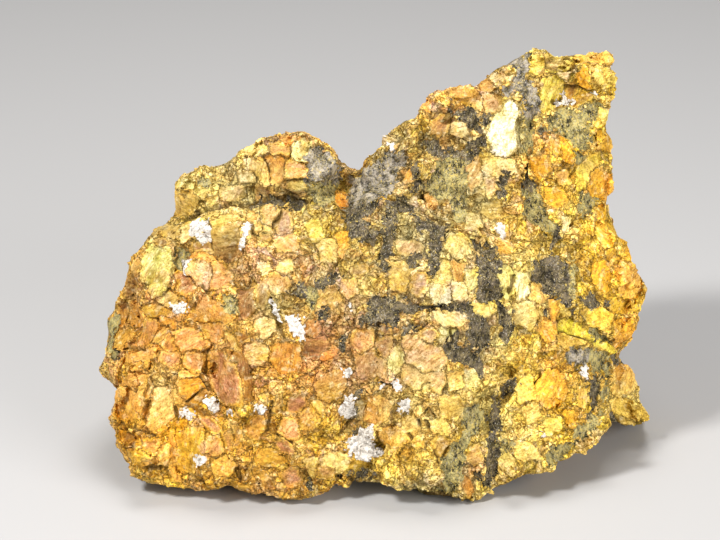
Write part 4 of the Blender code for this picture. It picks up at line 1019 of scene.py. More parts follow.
def rock_at(points, woven):
    """What the rock is at some points: its colour, how much it is host rock or white crust, how
    deep in a crack it is, which darkens it with painted shade in cracks and along facet borders,
    the way of its grain and how calm its texture is. woven is the fabric there."""
    _, chance, tone, way = woven
    place, depth = on_face(points)
    front = shown(place, depth)
    ragged = 0.9 * noise(points, 2.2 * MM, 21) + 0.6 * noise(points, 0.9 * MM, 22)
    mottle = noise(points, 1.1 * MM, 32) + noise(points, 2.7 * MM, 34)
    which, depth_in = facets_at(place + BORDER_CHIPS_MM * (chance[:, 1:] - 0.5))
    which = np.where(front > 0.5, which, -1)
    on_facet = which >= 0
    calm = np.where(on_facet, smooth(depth_in, 0.0, 0.4), 0.5 * smooth(chance[:, 1], 0.3, 0.7))
    colour = bare_colour(points, place, front, chance, tone)
    paint_facets(colour, way, points, which, depth_in, ragged, mottle)
    # The veils lay dust and stains over the face, and painted light and painted shade.
    for name in VEIL_AND_LIGHT_ORDER:
        veil = front * veil_and_light_at(place, name) * (1 + 0.5 * mottle)
        colour = blend(colour, linear(name), np.clip(veil, 0, 0.7))
    broken_place = place + HOST_CHIPS_MM * (chance[:, 1:] - 0.5)
    host, host_colour = host_at(points, broken_place, front, ragged)
    crust = crust_at(points, broken_place, front, ragged)
    # Painted shade along the facets' borders, where the steps between them would be shaded; it joins
    # the cracks' painted shade.
    gap = on_facet * (1 - smooth(depth_in + 0.1 * ragged, 0.05, 0.3))
    gap *= 0.15 * smooth(noise(points, 3 * MM, 35), 0.1, 0.6)
    crack = front * np.maximum(gap * (1 - host) * (1 - crust), line_marks(place, CRACKS, 0.25))
    return {
        "stone": colour, "host_stone": host_colour, "host": host * (1 - crust), "crust": crust,
        "crack": crack, "way": way, "calm": calm, "front": front, "which": which,
        "depth_in": depth_in,
    }


def mesh_points(mesh):
    """The places of the mesh's points, as rows."""
    points = np.empty(len(mesh.vertices) * 3, np.float32)
    mesh.vertices.foreach_get("co", points)
    return points.reshape(-1, 3).astype(float)


def mesh_normals(mesh):
    """The outward directions at the mesh's points, as rows."""
    normals = np.empty(len(mesh.vertices) * 3, np.float32)
    mesh.vertices.foreach_get("normal", normals)
    return normals.reshape(-1, 3).astype(float)


def set_attribute(mesh, name, values):
    """Writes one number or one vector for each point of the mesh."""
    kind, key = ("FLOAT", "value") if values.ndim == 1 else ("FLOAT_VECTOR", "vector")
    layer = mesh.attributes.new(name, kind, "POINT")
    layer.data.foreach_set(key, values.astype(np.float32).ravel())


def set_rock(mesh, rock):
    """Writes on to the mesh what the material reads of the rock."""
    for name in ("stone", "host_stone", "host", "crust", "crack", "way", "calm"):
        set_attribute(mesh, name, rock[name])


def with_modifier(mesh, kind, **settings):
    """The mesh that a modifier makes of another mesh."""
    holder = bpy.data.objects.new("holder", mesh)
    bpy.context.scene.collection.objects.link(holder)
    modifier = holder.modifiers.new(kind.lower(), kind)
    for key, value in settings.items():
        setattr(modifier, key, value)
    graph = bpy.context.evaluated_depsgraph_get()
    made = bpy.data.meshes.new_from_object(holder.evaluated_get(graph))
    bpy.data.objects.remove(holder)
    return made


def facet_shift(rock, points):
    """How far along the view each point moves to lie on its facet, in millimetres, and how much of
    that it moves. A facet's plane is the least-squares one through the broken rock under it, with
    its lean added and its rise taken off the depth. On the plane are ribs, each a straight slope
    across the heading, and a bow by the square of the distance from the middle."""
    which = rock["which"]
    place, depth = on_face(points)
    shift = np.zeros(len(place))
    hold = np.zeros(len(place))
    for index, (_, lean, rise, ribs, _) in enumerate(FACETS):
        chosen = np.flatnonzero(which == index)
        if len(chosen) < 8:
            continue
        middle = place[chosen].mean(axis=0)
        offset = place[chosen] - middle
        terms = np.column_stack([np.ones(len(chosen)), offset])
        fitted = np.linalg.lstsq(terms, depth[chosen], rcond=None)[0]
        slope = FACET_SLOPE * np.clip(fitted[1:], -1.2, 1.2) + FACET_LEAN * np.array(lean)
        target = fitted[0] - FACET_RISE * rise + offset @ slope
        turn = math.radians(ribs)
        across = offset[:, 1] * math.cos(turn) - offset[:, 0] * math.sin(turn)
        rib_height = 0.05 + 0.14 * share_of(index)
        target += rib_height * ((across / RIB_SPACING_MM + 0.1 * index) % 1 - 0.5)
        spread = max(np.mean(offset**2), 0.2)
        bow = FACET_BOW_MM * (share_of(index, 0.382) - 0.25)
        target += bow * np.minimum((offset**2).sum(axis=1) / spread, 6)
        move = target - depth[chosen]
        shift[chosen] = np.clip(move, -2, 2)
        hold[chosen] = 0.7 * smooth(rock["depth_in"][chosen], 0.0, 0.4) * (np.abs(move) < 3)
    return shift, hold


def rock_skin():
    """The lump's skin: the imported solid, fused finely, with the show face's facets cut into it and
    the rock's fabric everywhere else, grains on host rock and hollows along cracks."""
    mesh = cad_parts["specimen"].data.copy()
    mesh = with_modifier(mesh, "WELD", merge_threshold=0.001 * MM)
    mesh = with_modifier(mesh, "REMESH", mode="VOXEL", voxel_size=SKIN_VOXEL)
    mesh = with_modifier(mesh, "SMOOTH", factor=0.5, iterations=SKIN_SMOOTHING)
    points, normals = mesh_points(mesh), mesh_normals(mesh)
    woven = fabric(points)
    rock = rock_at(points, woven)
    height = woven[0]
    host = rock["host"]
    grains = (0.13 * noise(points, 0.9 * MM, 41) + 0.35 * noise(points, 3.5 * MM, 43) - 0.3) * MM
    turned = smooth(np.abs(normals @ AWAY), 0.0, 0.5)
    lift = (1 - host) * height * (0.4 + 0.6 * turned) + host * grains
    lift += rock["crust"] * (0.35 + 0.25 * noise(points, 0.8 * MM, 44)) * MM
    lift -= 0.7 * MM * rock["crack"]
    above_floor = smooth(points[:, 2], 0.3 * MM, 1.5 * MM)
    points += normals * (lift * above_floor)[:, None]
    shift, hold = facet_shift(rock, points)
    points += AWAY * (shift * hold * (1 - host) * (1 - rock["crack"]) * above_floor * MM)[:, None]
    points[:, 2] = np.maximum(points[:, 2], 0)
    corners = np.empty(len(mesh.polygons) * 4, np.int32)
    mesh.polygons.foreach_get("vertices", corners)
    quads = corners.reshape(-1, 4)
    place, depth = on_face(points)
    behind = behind_edge(place, depth)[quads].mean(axis=1) - SKIN_CUT_MM
    aside = place[quads, 0].mean(axis=1) - SKIN_SPLIT_MM
    lap = SKIN_LAP_MM / 2
    parts = {
        "rock_left": (behind < lap) & (aside < lap),
        "rock_right": (behind < lap) & (aside > -lap),
        "rock_back": behind > -lap,
    }
    return [skin_part(name, points, quads[kept], rock) for name, kept in parts.items()]


def skin_part(name, points, quads, rock):
    """Some of the skin's faces as a closed mesh: each side that only one of them has is joined to
    one place deep in the rock, where nothing shows. A side is open when no face runs along it the
    other way."""
    count = len(points)
    sides = np.stack([quads, np.roll(quads, -1, axis=1)], axis=-1).reshape(-1, 2).astype(np.int64)
    open_sides = sides[~np.isin(sides[:, 0] * count + sides[:, 1], sides[:, 1] * count + sides[:, 0])]
    used, renamed = np.unique(quads, return_inverse=True)
    heart = len(used)
    ends = np.searchsorted(used, open_sides)
    cone = np.column_stack([ends[:, 1], ends[:, 0], np.full(len(ends), heart)])
    loops = np.concatenate([renamed.ravel(), cone.ravel()])
    totals = np.concatenate([np.full(len(quads), 4), np.full(len(cone), 3)])
    mesh = bpy.data.meshes.new(name)
    mesh.vertices.add(heart + 1)
    mesh.vertices.foreach_set("co", np.vstack([points[used], SKIN_HEART]).astype(np.float32).ravel())
    mesh.loops.add(len(loops))
    mesh.loops.foreach_set("vertex_index", loops.astype(np.int32))
    mesh.polygons.add(len(totals))
    mesh.polygons.foreach_set("loop_start", (np.cumsum(totals) - totals).astype(np.int32))
    mesh.update(calc_edges=True)
    inner = np.append(used, used[0])
    set_rock(mesh, {key: values[inner] for key, values in rock.items()})
    ratio = min(1.0, SKIN_TRIANGLES / (2 * len(quads) + len(cone)))
    part = with_modifier(mesh, "DECIMATE", ratio=ratio, use_collapse_triangulate=True)
    bpy.data.meshes.remove(mesh)
    part.name = name
    part.set_sharp_from_angle(angle=SHARP_ANGLE)
    return part


def surface_sites(skins, count, seed, wanted):
    """Up to count places on the skins, spread by area, with the normals there. Of four times as many
    draws, those are kept whose random number is under what is wanted. The last thing returned is
    the source of the random numbers, for the draws that follow."""
    rng = np.random.default_rng(seed)
    triangles = []
    for skin in skins:
        faces = np.empty(len(skin.polygons) * 3, np.int32)
        skin.polygons.foreach_get("vertices", faces)
        corners = mesh_points(skin)[faces.reshape(-1, 3)]
        outer = np.all(np.linalg.norm(corners - SKIN_HEART, axis=2) > 1 * MM, axis=1)
        triangles.append(corners[outer])
    corners = np.concatenate(triangles)
    normals = np.cross(corners[:, 1] - corners[:, 0], corners[:, 2] - corners[:, 0])
    area = np.linalg.norm(normals, axis=1)
    chosen = rng.choice(len(area), count * 4, p=area / area.sum())
    mix = rng.dirichlet((1, 1, 1), len(chosen))
    places = np.einsum("nk,nkd->nd", mix, corners[chosen])
    normals = normals[chosen] / area[chosen][:, None]
    rock = rock_at(places, fabric(places))
    keep = np.flatnonzero(rng.uniform(size=len(places)) < wanted(rock))[:count]
    return places[keep], normals[keep], rng


def slabs(name, places, along, across, through, size, rng):
    """Closed slabs: two rings of corners at rough angles, stretched to each slab's length, width
    and thickness along its own three directions about its own place."""
    count = len(places)
    angle = (np.arange(CORNERS) + rng.uniform(-0.38, 0.38, (count, CORNERS))) * 2 * np.pi / CORNERS
    reach = rng.uniform(0.7, 1.1, (count, CORNERS))
    ring = np.stack([np.cos(angle) * reach, np.sin(angle) * reach], axis=-1)
    tip = rng.uniform(-0.3, 0.3, (count, 1, 2))
    height = 0.5 + 0.25 * (ring * tip).sum(-1)
    top = np.concatenate([ring, height[..., None]], axis=-1)
    root = np.concatenate([ring * 0.8, np.full((count, CORNERS, 1), -0.5)], axis=-1)
    local = np.concatenate([top, root], axis=1)
    scaled = local * size[:, None, :] * np.array((0.5, 0.5, 1.0))
    points = (
        places[:, None]
        + scaled[..., :1] * along[:, None]
        + scaled[..., 1:2] * across[:, None]
        + scaled[..., 2:] * through[:, None]
    )
    points[..., 2] = np.maximum(points[..., 2], FLOOR_GAP)
    side = [[k, k + CORNERS, (k + 1) % CORNERS + CORNERS, (k + 1) % CORNERS] for k in range(CORNERS)]
    caps = [list(range(CORNERS)), list(range(2 * CORNERS - 1, CORNERS - 1, -1))]
    template = np.concatenate([np.array(side).ravel(), np.array(caps).ravel()])
    lengths = np.array([4] * CORNERS + [CORNERS] * 2)
    loops = (template[None] + 2 * CORNERS * np.arange(count)[:, None]).ravel()
    totals = np.tile(lengths, count)
    mesh = bpy.data.meshes.new(name)
    mesh.vertices.add(count * 2 * CORNERS)
    mesh.vertices.foreach_set("co", points.astype(np.float32).ravel())
    mesh.loops.add(len(loops))
    mesh.loops.foreach_set("vertex_index", loops.astype(np.int32))
    mesh.polygons.add(len(totals))
    mesh.polygons.foreach_set("loop_start", (np.cumsum(totals) - totals).astype(np.int32))
    mesh.update(calc_edges=True)
    mesh.shade_flat()
    return mesh


def each_corner(values):
    """A value for each slab, repeated for its corners."""
    return np.repeat(values, 2 * CORNERS, axis=0)


def sunk(places, normals, slab_axes, size, rise):
    """Middles of slabs that are sunk until only the highest corner stands out by its rise: half of
    the slab's size along the normal is added up from its three directions."""
    reach = sum(
        np.abs(np.sum(normals * axis, axis=1)) * size[:, k] / 2 for k, axis in enumerate(slab_axes)
    )
    return places - normals * (reach - rise)[:, None]


def blades(name, skins, count, seed, length_mm, on_facets):
    """Cleavage blades in bundles: all the blades of one large cell of the fabric share a cleavage
    plane, and their colours come from the rock that they sit in. Most lie flat, with the normal
    turned a little to the cell's direction; the rest stand edge on, square to both."""

    def wanted(rock):
        bare = (1 - smooth(rock["host"], 0.2, 0.7)) * (1 - rock["crust"])
        share = np.where(rock["which"] >= 0, on_facets, np.where(rock["front"] > 0.5, 0.6, 1.0))
        return bare * share * (1 - 0.8 * (rock["crack"] > 0.9))

    places, normals, rng = surface_sites(skins, count, seed, wanted)
    total = len(places)
    woven = fabric(places)
    _, cell = bent_facets(places, LARGE_CELL, LARGE_SEED)
    facing = hashed(cell, 311)[:, None] > EDGE_ON_SHARE
    cleavage = directions(cell, 321)
    flat = normals + 0.35 * cleavage
    edge_on = np.cross(normals, cleavage) + 0.2 * normals
    through = unit(np.where(facing, flat, edge_on))
    through = unit(through + rng.normal(scale=0.09, size=(total, 3)))
    heading = unit(directions(cell, 331) + rng.normal(scale=0.2, size=(total, 3)))
    along = unit(np.cross(through, heading))
    across = np.cross(through, along)
    length = length_mm * rng.uniform(0.55, 1.35, total) * MM
    width = length * rng.uniform(0.4, 0.85, total)
    thick = np.clip(length * rng.uniform(0.16, 0.3, total), 0.3 * MM, 1.2 * MM)
    size = np.stack([length, width, thick], axis=1)
    rise = rng.uniform(*BLADE_RISE_MM, total) * MM
    middle = sunk(places, normals, (along, across, through), size, rise)
    mesh = slabs(name, middle, along, across, through, size, rng)
    rock = rock_at(places, woven)
    tint = cell_paint(rng.uniform(size=total))
    rock["stone"] = blend(rock["stone"], tint, 0.15)
    rock["way"] = along
    rock = {key: each_corner(values) for key, values in rock.items()}
    # Painted shade: each blade's root corners, down in the rock, are darkened as a crack is, and its
    # top corners are not.
    rock["crack"] = np.tile(np.repeat((0.0, 0.6), CORNERS), total)
    set_rock(mesh, rock)
    return mesh


def crust_crystals(skins, count, seed):
    """Small white blocks, heaped on the crusts at all angles."""
    places, normals, rng = surface_sites(skins, count, seed, lambda rock: rock["crust"])
    total = len(places)
    through = unit(normals + rng.normal(scale=0.5, size=(total, 3)))
    along = unit(np.cross(through, rng.normal(size=(total, 3))))
    across = np.cross(through, along)
    size = rng.uniform(0.4, 1.1, (total, 1)) * rng.uniform(0.6, 1.1, (total, 3)) * MM
    middle = sunk(places, normals, (along, across, through), size, rng.uniform(0.1, 0.45, total) * MM)
    mesh = slabs("crust_crystals", middle, along, across, through, size, rng)
    rock = {key: each_corner(values) for key, values in rock_at(places, fabric(places)).items()}
    corners = len(mesh.vertices)
    rock["crust"] = np.ones(corners)
    rock["host"] = np.zeros(corners)
    rock["crack"] = np.zeros(corners)
    set_rock(mesh, rock)
    return mesh


# The finishes' colours, as linear light.
UMBER_TINT = (0.60, 0.48, 0.2, 1)
# A painted sheen: the pearly yellow of cleavage faces that catch the light.
PAINTED_SHEEN = (0.94, 0.80, 0.38, 1)
SLIVER_LINE = (0.17, 0.09, 0.006, 1)
# A painted highlight: the glints along the slivers' edges.
GLINT = (1.0, 0.9, 0.36, 1)
# Painted shade in cracks, along facet borders and at the blades' roots.
CRACK_SHADE = (0.10, 0.05, 0.006, 1)
# What the darkest and the lightest texture multiply red, green and blue by.
TONE_DARK = (0.37, 0.305, 0.09)
TONE_BRIGHT = (1.57, 1.79, 2.8)
HOST_VEIN = (0.40, 0.31, 0.14, 1)
HOST_HAZE = (0.62, 0.49, 0.16, 1)
HOST_GOLD = (0.66, 0.48, 0.12, 1)
HOST_SPECK = (0.5, 0.46, 0.38, 1)
CRUST_GREY = (0.44, 0.40, 0.35, 1)
CRUST_WHITE = (0.76, 0.72, 0.66, 1)
CRUST_SHADE = (0.36, 0.31, 0.27, 1)
BUMP_STRENGTH = 0.9
BUMP_DISTANCE = 0.3 * MM
# The kinds of sockets that the node groups have, and what each finish puts out.
VECTOR, COLOUR, NUMBER = "NodeSocketVector", "NodeSocketColor", "NodeSocketFloat"
FINISH = [("Color", COLOUR), ("Roughness", NUMBER), ("Height", NUMBER)]


def node(tree, kind, **settings):
    """A new node with its settings."""
    made = tree.nodes.new(kind)
    for key, value in settings.items():
        setattr(made, key, value)
    return made


def feed(tree, socket, value):
    """Links an output to a socket, or sets the socket's own value."""
    if isinstance(value, bpy.types.NodeSocket):
        tree.links.new(value, socket)
    else:
        socket.default_value = value


def math_node(tree, operation, *values, clamp=False):
    """One sum or comparison of numbers."""
    made = node(tree, "ShaderNodeMath", operation=operation, use_clamp=clamp)
    for socket, value in zip(made.inputs, values):
        feed(tree, socket, value)
    return made.outputs[0]


def mix_colour(tree, factor, a, b, blend_type="MIX"):
    """Colour a at factor 0 and b at 1, or a times b for MULTIPLY."""
    made = node(tree, "ShaderNodeMix", data_type="RGBA", blend_type=blend_type)
    feed(tree, made.inputs["Factor"], factor)
    feed(tree, made.inputs[6], a)
    feed(tree, made.inputs[7], b)
    return made.outputs[2]


def mix_number(tree, factor, a, b):
    """Number a at factor 0 and b at 1."""
    made = node(tree, "ShaderNodeMix", data_type="FLOAT")
    feed(tree, made.inputs[0], factor)
    feed(tree, made.inputs[2], a)
    feed(tree, made.inputs[3], b)
    return made.outputs[0]


def between(tree, value, low, high, clamp_low=0.0, clamp_high=1.0):
    """clamp_low at or before low, clamp_high at or past high, and 3t^2 - 2t^3 between them."""
    made = node(tree, "ShaderNodeMapRange", interpolation_type="SMOOTHSTEP")
    feed(tree, made.inputs["Value"], value)
    made.inputs["From Min"].default_value = low
    made.inputs["From Max"].default_value = high
    made.inputs["To Min"].default_value = clamp_low
    made.inputs["To Max"].default_value = clamp_high
    return made.outputs["Result"]


def noise_node(tree, vector, scale, detail, roughness):
    """Smooth noise from 0 to 1, scale cells to a unit."""
    made = node(tree, "ShaderNodeTexNoise")
    feed(tree, made.inputs["Vector"], vector)
    made.inputs["Scale"].default_value = scale
    made.inputs["Detail"].default_value = detail
    made.inputs["Roughness"].default_value = roughness
    return made.outputs["Fac"]


def grain_cells(tree, vector, scale):
    """Cell noise: two random numbers for each cell, and the distance from its middle."""
    made = node(tree, "ShaderNodeTexVoronoi", feature="F1")
    feed(tree, made.inputs["Vector"], vector)
    made.inputs["Scale"].default_value = scale
    parts = node(tree, "ShaderNodeSeparateColor")
    feed(tree, parts.inputs[0], made.outputs["Color"])
    return parts.outputs[0], parts.outputs[1], made.outputs["Distance"]


def group(name, inputs, outputs):
    """A new node group with named sockets, each given as (name, socket type)."""
    tree = bpy.data.node_groups.new(name, "ShaderNodeTree")
    for socket_name, kind in inputs:
        tree.interface.new_socket(socket_name, in_out="INPUT", socket_type=kind)
    for socket_name, kind in outputs:
        tree.interface.new_socket(socket_name, in_out="OUTPUT", socket_type=kind)
    return tree, node(tree, "NodeGroupInput"), node(tree, "NodeGroupOutput")


def cell_facets(tree, vector, scale):
    """Small facets: each cell of cell noise is a plane with its own tilt. Gives two random numbers
    for the cell, the plane's height, and how far the point is from the cell's edge."""
    made = node(tree, "ShaderNodeTexVoronoi", feature="F1")
    feed(tree, made.inputs["Vector"], vector)
    made.inputs["Scale"].default_value = scale
    apart = node(tree, "ShaderNodeVectorMath", operation="SUBTRACT")
    feed(tree, apart.inputs[0], vector)
    feed(tree, apart.inputs[1], made.outputs["Position"])
    lean = node(tree, "ShaderNodeVectorMath", operation="SUBTRACT")
    feed(tree, lean.inputs[0], made.outputs["Color"])
    lean.inputs[1].default_value = (0.5, 0.5, 0.5)
    plane = node(tree, "ShaderNodeVectorMath", operation="DOT_PRODUCT")
    feed(tree, plane.inputs[0], apart.outputs[0])
    feed(tree, plane.inputs[1], lean.outputs[0])
    edge = node(tree, "ShaderNodeTexVoronoi", feature="DISTANCE_TO_EDGE")
    feed(tree, edge.inputs["Vector"], vector)
    edge.inputs["Scale"].default_value = scale
    parts = node(tree, "ShaderNodeSeparateColor")
    feed(tree, parts.inputs[0], made.outputs["Color"])
    return parts.outputs[0], parts.outputs[1], plane.outputs["Value"], edge.outputs["Distance"]


def vector_node(tree, operation, *values):
    """One sum or product of vectors."""
    made = node(tree, "ShaderNodeVectorMath", operation=operation)
    for socket, value in zip(made.inputs, values):
        feed(tree, socket, value)
    return made.outputs[0]


def drawn_out(tree, position, way, share, scale):
    """Texture coordinates in which shapes are drawn out along the grain: the position less this
    share of its part along the grain's way, times the scale."""
    part = node(tree, "ShaderNodeVectorMath", operation="DOT_PRODUCT")
    feed(tree, part.inputs[0], position)
    feed(tree, part.inputs[1], way)
    taken = node(tree, "ShaderNodeVectorMath", operation="SCALE")
    feed(tree, taken.inputs[0], way)
    feed(tree, taken.inputs["Scale"], math_node(tree, "MULTIPLY", part.outputs["Value"], -share))
    left = vector_node(tree, "ADD", position, taken.outputs[0])
    return vector_node(tree, "MULTIPLY", left, (scale, scale, scale))


def orpiment_group():
    """Colour, roughness and height of orpiment. Its own colour drifts to umber in clouds, and to
    pearly yellow in others, a painted sheen; slivers and streaks drawn out along the grain, chips and
    grit make it lighter or darker, less so where it is calm. Along the slivers' edges run dark lines
    and glints, which are painted highlights, and the crack attribute darkens it to brown, as painted
    shade."""
    inputs = [
        ("Stone", COLOUR), ("Position", VECTOR), ("Way", VECTOR), ("Calm", NUMBER),
        ("Crack", NUMBER),
    ]
    tree, come, go = group("orpiment", inputs, FINISH)
    position, stone, way = (come.outputs[name] for name in ("Position", "Stone", "Way"))
    rough = math_node(tree, "MULTIPLY_ADD", come.outputs["Calm"], -0.6, 1.0)
    blotch = noise_node(tree, position, 620, 1.5, 0.6)
    fine = noise_node(tree, position, 3600, 2.0, 0.7)
    streak = noise_node(tree, drawn_out(tree, position, way, 0.9, 1900), 1.0, 2.0, 0.6)
    long = drawn_out(tree, position, way, 0.78, 1150)
    _, sliver_shade, sliver_plane, sliver_edge = cell_facets(tree, long, 1.0)
    _, chip_shade, chip_plane, _ = cell_facets(tree, position, 1250)
    grit, grit_shade, _ = grain_cells(tree, position, 2900)
    broken = math_node(tree, "MULTIPLY", grit_shade, 0.5)
    broken = math_node(tree, "MULTIPLY_ADD", chip_shade, 0.24, broken)
    broken = math_node(tree, "MULTIPLY_ADD", fine, 0.6, broken)
    broken = math_node(tree, "MULTIPLY_ADD", sliver_shade, 0.24, broken)
    broken = math_node(tree, "SUBTRACT", broken, 0.79)
    level = math_node(tree, "MULTIPLY_ADD", streak, 0.4, math_node(tree, "MULTIPLY", broken, rough))
    umber = mix_colour(tree, 1.0, stone, UMBER_TINT, "MULTIPLY")
    # Painted sheen: clouds of pearly yellow.
    light = mix_colour(tree, 0.55, stone, PAINTED_SHEEN)
    colour = mix_colour(tree, between(tree, blotch, 0.46, 0.34, 0.0, 0.4), stone, umber)
    colour = mix_colour(tree, between(tree, blotch, 0.56, 0.68, 0.0, 0.4), colour, light)
    tone = node(tree, "ShaderNodeCombineColor")
    for socket, dark, bright in zip(tone.inputs, TONE_DARK, TONE_BRIGHT):
        feed(tree, socket, between(tree, level, -0.12, 0.52, dark, bright))
    colour = mix_colour(tree, 1.0, colour, tone.outputs[0], "MULTIPLY")
    rim = math_node(tree, "MULTIPLY", between(tree, sliver_edge, 0.07, 0.0), rough)
    line = math_node(tree, "MULTIPLY", rim, between(tree, blotch, 0.50, 0.60, 0.0, 0.5))
    colour = mix_colour(tree, line, colour, SLIVER_LINE)
    # Painted highlights: glints along the slivers' edges.
    glint = math_node(tree, "MULTIPLY", rim, between(tree, sliver_shade, 0.65, 0.75, 0.0, 0.6))
    colour = mix_colour(tree, glint, colour, GLINT)
    # Painted shade: the crack attribute darkens the colour to brown.
    dark = math_node(tree, "MULTIPLY", come.outputs["Crack"], 0.8)
    colour = mix_colour(tree, dark, colour, CRACK_SHADE)
    feed(tree, go.inputs["Color"], colour)
    feed(tree, go.inputs["Roughness"], math_node(tree, "MULTIPLY_ADD", grit, 0.3, 0.35))
    height = math_node(tree, "MULTIPLY_ADD", fine, 0.6, math_node(tree, "MULTIPLY", sliver_plane, 1.6))
    height = math_node(tree, "MULTIPLY_ADD", chip_plane, 1600.0, height)
    height = math_node(tree, "MULTIPLY", height, rough)
    height = math_node(tree, "MULTIPLY_ADD", streak, 0.6, height)
    feed(tree, go.inputs["Height"], height)
    return tree


def host_group():
    """Colour, roughness and height of the host rock. Clouds and grains make it lighter and darker
    than its own colour, and thin tan veins run where a noise is within 0.014 of its middle value. A
    yellow haze and specks lie on it, more of them the yellower the rock is: 7 (red - blue) - 0.02,
    kept from 0 to 1."""
    inputs = [("Stone", COLOUR), ("Position", VECTOR)]
    tree, come, go = group("host_rock", inputs, FINISH)
    position, stone = come.outputs["Position"], come.outputs["Stone"]
    coarse, coarse_pick, coarse_distance = grain_cells(tree, position, 2300)
    fine, fine_pick, _ = grain_cells(tree, position, 4300)
    cloud = noise_node(tree, position, 420, 5.0, 0.7)
    upright = vector_node(tree, "MULTIPLY", position, (1.4, 1.2, 0.7))
    veil = noise_node(tree, upright, 1100, 4.0, 0.85)
    level = math_node(tree, "MULTIPLY_ADD", coarse, 0.18, math_node(tree, "MULTIPLY", fine, 0.16))
    level = math_node(tree, "MULTIPLY_ADD", cloud, 1.8, level)
    bright = between(tree, level, 0.84, 1.42, 0.16, 4.2)
    tone = node(tree, "ShaderNodeCombineColor")
    for socket in tone.inputs[:3]:
        feed(tree, socket, bright)
    colour = mix_colour(tree, 1.0, stone, tone.outputs[0], "MULTIPLY")
    ridge = math_node(tree, "SUBTRACT", noise_node(tree, upright, 330, 3.0, 0.55), 0.5)
    ridge = math_node(tree, "ABSOLUTE", ridge)
    vein = between(tree, ridge, 0.014, 0.004, 0.0, 0.6)
    colour = mix_colour(tree, vein, colour, HOST_VEIN)
    parts = node(tree, "ShaderNodeSeparateColor")
    feed(tree, parts.inputs[0], stone)
    yellow = math_node(tree, "SUBTRACT", parts.outputs[0], parts.outputs[2])
    yellow = math_node(tree, "MULTIPLY_ADD", yellow, 7.0, -0.02, clamp=True)
    haze = math_node(tree, "MULTIPLY", between(tree, veil, 0.46, 0.58), yellow)
    colour = mix_colour(tree, haze, colour, HOST_HAZE)
    gold = math_node(tree, "LESS_THAN", coarse_pick, math_node(tree, "MULTIPLY", haze, 0.4))
    colour = mix_colour(tree, math_node(tree, "MULTIPLY", gold, 0.6), colour, HOST_GOLD)
    white = math_node(tree, "GREATER_THAN", fine_pick, 0.93)
    colour = mix_colour(tree, math_node(tree, "MULTIPLY", white, 0.4), colour, HOST_SPECK)
    feed(tree, go.inputs["Color"], colour)
    feed(tree, go.inputs["Roughness"], math_node(tree, "MULTIPLY_ADD", coarse, 0.3, 0.5))
    height = math_node(tree, "MULTIPLY", coarse_distance, -0.8)
    height = math_node(tree, "MULTIPLY_ADD", cloud, 1.5, height)
    feed(tree, go.inputs["Height"], height)
    return tree


def crust_group():
    """Colour, roughness and height of the white crusts: near white, with grey between grains."""
    tree, come, go = group("white_crust", [("Position", VECTOR)], FINISH)
    pick, _, distance = grain_cells(tree, come.outputs["Position"], 1500)
    cloud = noise_node(tree, come.outputs["Position"], 600, 3.0, 0.6)
    colour = mix_colour(tree, between(tree, pick, 0.0, 0.5), CRUST_GREY, CRUST_WHITE)
    colour = mix_colour(tree, between(tree, cloud, 0.58, 0.72, 0.0, 0.5), colour, CRUST_SHADE)
    feed(tree, go.inputs["Color"], colour)
    feed(tree, go.inputs["Roughness"], math_node(tree, "MULTIPLY_ADD", pick, 0.3, 0.4))
    feed(tree, go.inputs["Height"], math_node(tree, "MULTIPLY", distance, -1.0))
    return tree


def use_group(tree, made, **inputs):
    """Places a node group, feeds its inputs and gives its outputs."""
    placed = node(tree, "ShaderNodeGroup", node_tree=made)
    for name, value in inputs.items():
        feed(tree, placed.inputs[name], value)
    return placed.outputs


def rock_material(groups):
    """Orpiment, host rock and white crust on one surface: the host and crust attributes, made
    ragged by fine noise, pick which of the three groups shows."""
    material = bpy.data.materials.new("orpiment_rock")
    material.use_nodes = True
    tree = material.node_tree
    shader = tree.nodes["Principled BSDF"]
    shader.inputs["Specular IOR Level"].default_value = 0.2
    coords = node(tree, "ShaderNodeTexCoord").outputs["Object"]

    def attribute(name, output):
        return node(tree, "ShaderNodeAttribute", attribute_name=name).outputs[output]

    orpiment, host, crust = groups
    crack = attribute("crack", "Fac")
    gold = use_group(
        tree, orpiment, Stone=attribute("stone", "Color"), Position=coords, Crack=crack,
        Way=attribute("way", "Vector"), Calm=attribute("calm", "Fac"),
    )
    dull = use_group(tree, host, Stone=attribute("host_stone", "Color"), Position=coords)
    white = use_group(tree, crust, Position=coords)
    ragged = noise_node(tree, coords, 1500, 4.0, 0.8)
    ragged = math_node(tree, "MULTIPLY_ADD", ragged, 2.4, -1.2)
    host_amount = math_node(tree, "ADD", attribute("host", "Fac"), ragged)
    host_amount = between(tree, host_amount, 0.42, 0.58)
    crust_amount = math_node(tree, "MULTIPLY_ADD", ragged, 0.4, attribute("crust", "Fac"))
    crust_amount = between(tree, crust_amount, 0.42, 0.58)
    colour = mix_colour(tree, host_amount, gold["Color"], dull["Color"])
    colour = mix_colour(tree, crust_amount, colour, white["Color"])
    feed(tree, shader.inputs["Base Color"], colour)
    rough = mix_number(tree, host_amount, gold["Roughness"], dull["Roughness"])
    feed(tree, shader.inputs["Roughness"], mix_number(tree, crust_amount, rough, white["Roughness"]))
    height = mix_number(tree, host_amount, gold["Height"], dull["Height"])
    height = mix_number(tree, crust_amount, height, white["Height"])
    bump = node(tree, "ShaderNodeBump")
    bump.inputs["Strength"].default_value = BUMP_STRENGTH
    bump.inputs["Distance"].default_value = BUMP_DISTANCE
    feed(tree, bump.inputs["Height"], height)
    feed(tree, shader.inputs["Normal"], bump.outputs[0])
    return material


def add_piece(name, mesh, material):
    """Puts a finished mesh in the scene as a piece that rides on the lump's body."""
    mesh.name = name
    mesh.materials.clear()
    mesh.materials.append(material)
    piece = bpy.data.objects.new(name, mesh)
    bpy.context.scene.collection.objects.link(piece)
    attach(piece, "root")
    return piece


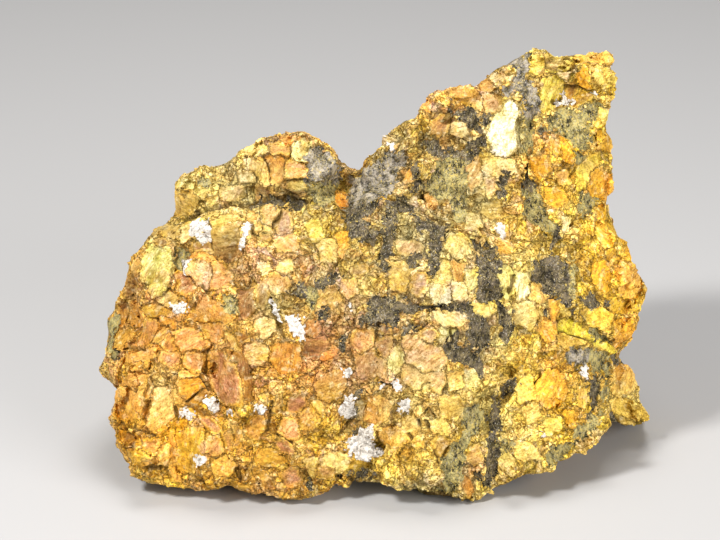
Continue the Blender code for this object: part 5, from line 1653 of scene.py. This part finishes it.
def make_lump():
    """The skin's three pieces, which stand for the solid, and what is set into them."""
    material = rock_material((orpiment_group(), host_group(), crust_group()))
    skins = rock_skin()
    for skin in skins:
        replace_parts(add_piece(skin.name, skin, material), "specimen")
    for name, count, seed, length_mm, on_facets in BLADE_SETS:
        add_piece(name, blades(name, skins, count, seed, length_mm, on_facets), material)
    add_piece("crust_crystals", crust_crystals(skins, CRYSTAL_MOST, CRYSTAL_SEED), material)


def area_light(name, place, power, side, colour):
    """A square lamp that aims at the lump's middle."""
    light = bpy.data.lights.new(name, "AREA")
    light.energy = power
    light.shape = "RECTANGLE"
    light.size = light.size_y = side
    light.color = colour
    lamp = bpy.data.objects.new(name, light)
    lamp.location = place
    aim = LAMP_AIM - Vector(place)
    lamp.rotation_euler = aim.to_track_quat("-Z", "Y").to_euler()
    bpy.context.scene.collection.objects.link(lamp)


def make_floor():
    """A plain pale floor, one level square."""
    mesh = bpy.data.meshes.new("floor")
    corners = [(x * FLOOR_HALF, y * FLOOR_HALF, 0) for x, y in ((-1, -1), (1, -1), (1, 1), (-1, 1))]
    mesh.from_pydata(corners, [], [(0, 1, 2, 3)])
    floor = bpy.data.objects.new("floor", mesh)
    bpy.context.scene.collection.objects.link(floor)
    material = bpy.data.materials.new("pale_floor")
    material.use_nodes = True
    shader = material.node_tree.nodes["Principled BSDF"]
    shader.inputs["Base Color"].default_value = FLOOR_COLOUR
    shader.inputs["Roughness"].default_value = 0.8
    mesh.materials.append(material)


def make_eye():
    """The camera, square on to the face plane, as wide there as the view's pixels."""
    eye = bpy.data.cameras.new("eye")
    eye.sensor_width = SENSOR_MM
    eye.lens = SENSOR_MM * EYE_DISTANCE / (VIEW_WIDTH * PIXEL_MM * MM)
    camera = bpy.data.objects.new("eye", eye)
    camera.location = FACE_MIDDLE - AWAY * EYE_DISTANCE
    camera.rotation_euler = Vector(AWAY).to_track_quat("-Z", "Y").to_euler()
    bpy.context.scene.collection.objects.link(camera)
    bpy.context.scene.camera = camera
    bpy.context.scene.view_settings.view_transform = "Standard"


def make_studio():
    """The floor, an even sky, soft lamps from the upper left, the right and above, and the eye."""
    make_floor()
    world = bpy.data.worlds.new("studio")
    bpy.context.scene.world = world
    world.use_nodes = True
    background = world.node_tree.nodes["Background"]
    background.inputs[0].default_value = SKY_COLOUR
    background.inputs[1].default_value = SKY_STRENGTH
    for lamp in LAMPS:
        area_light(*lamp)
    make_eye()


make_studio()
make_lump()
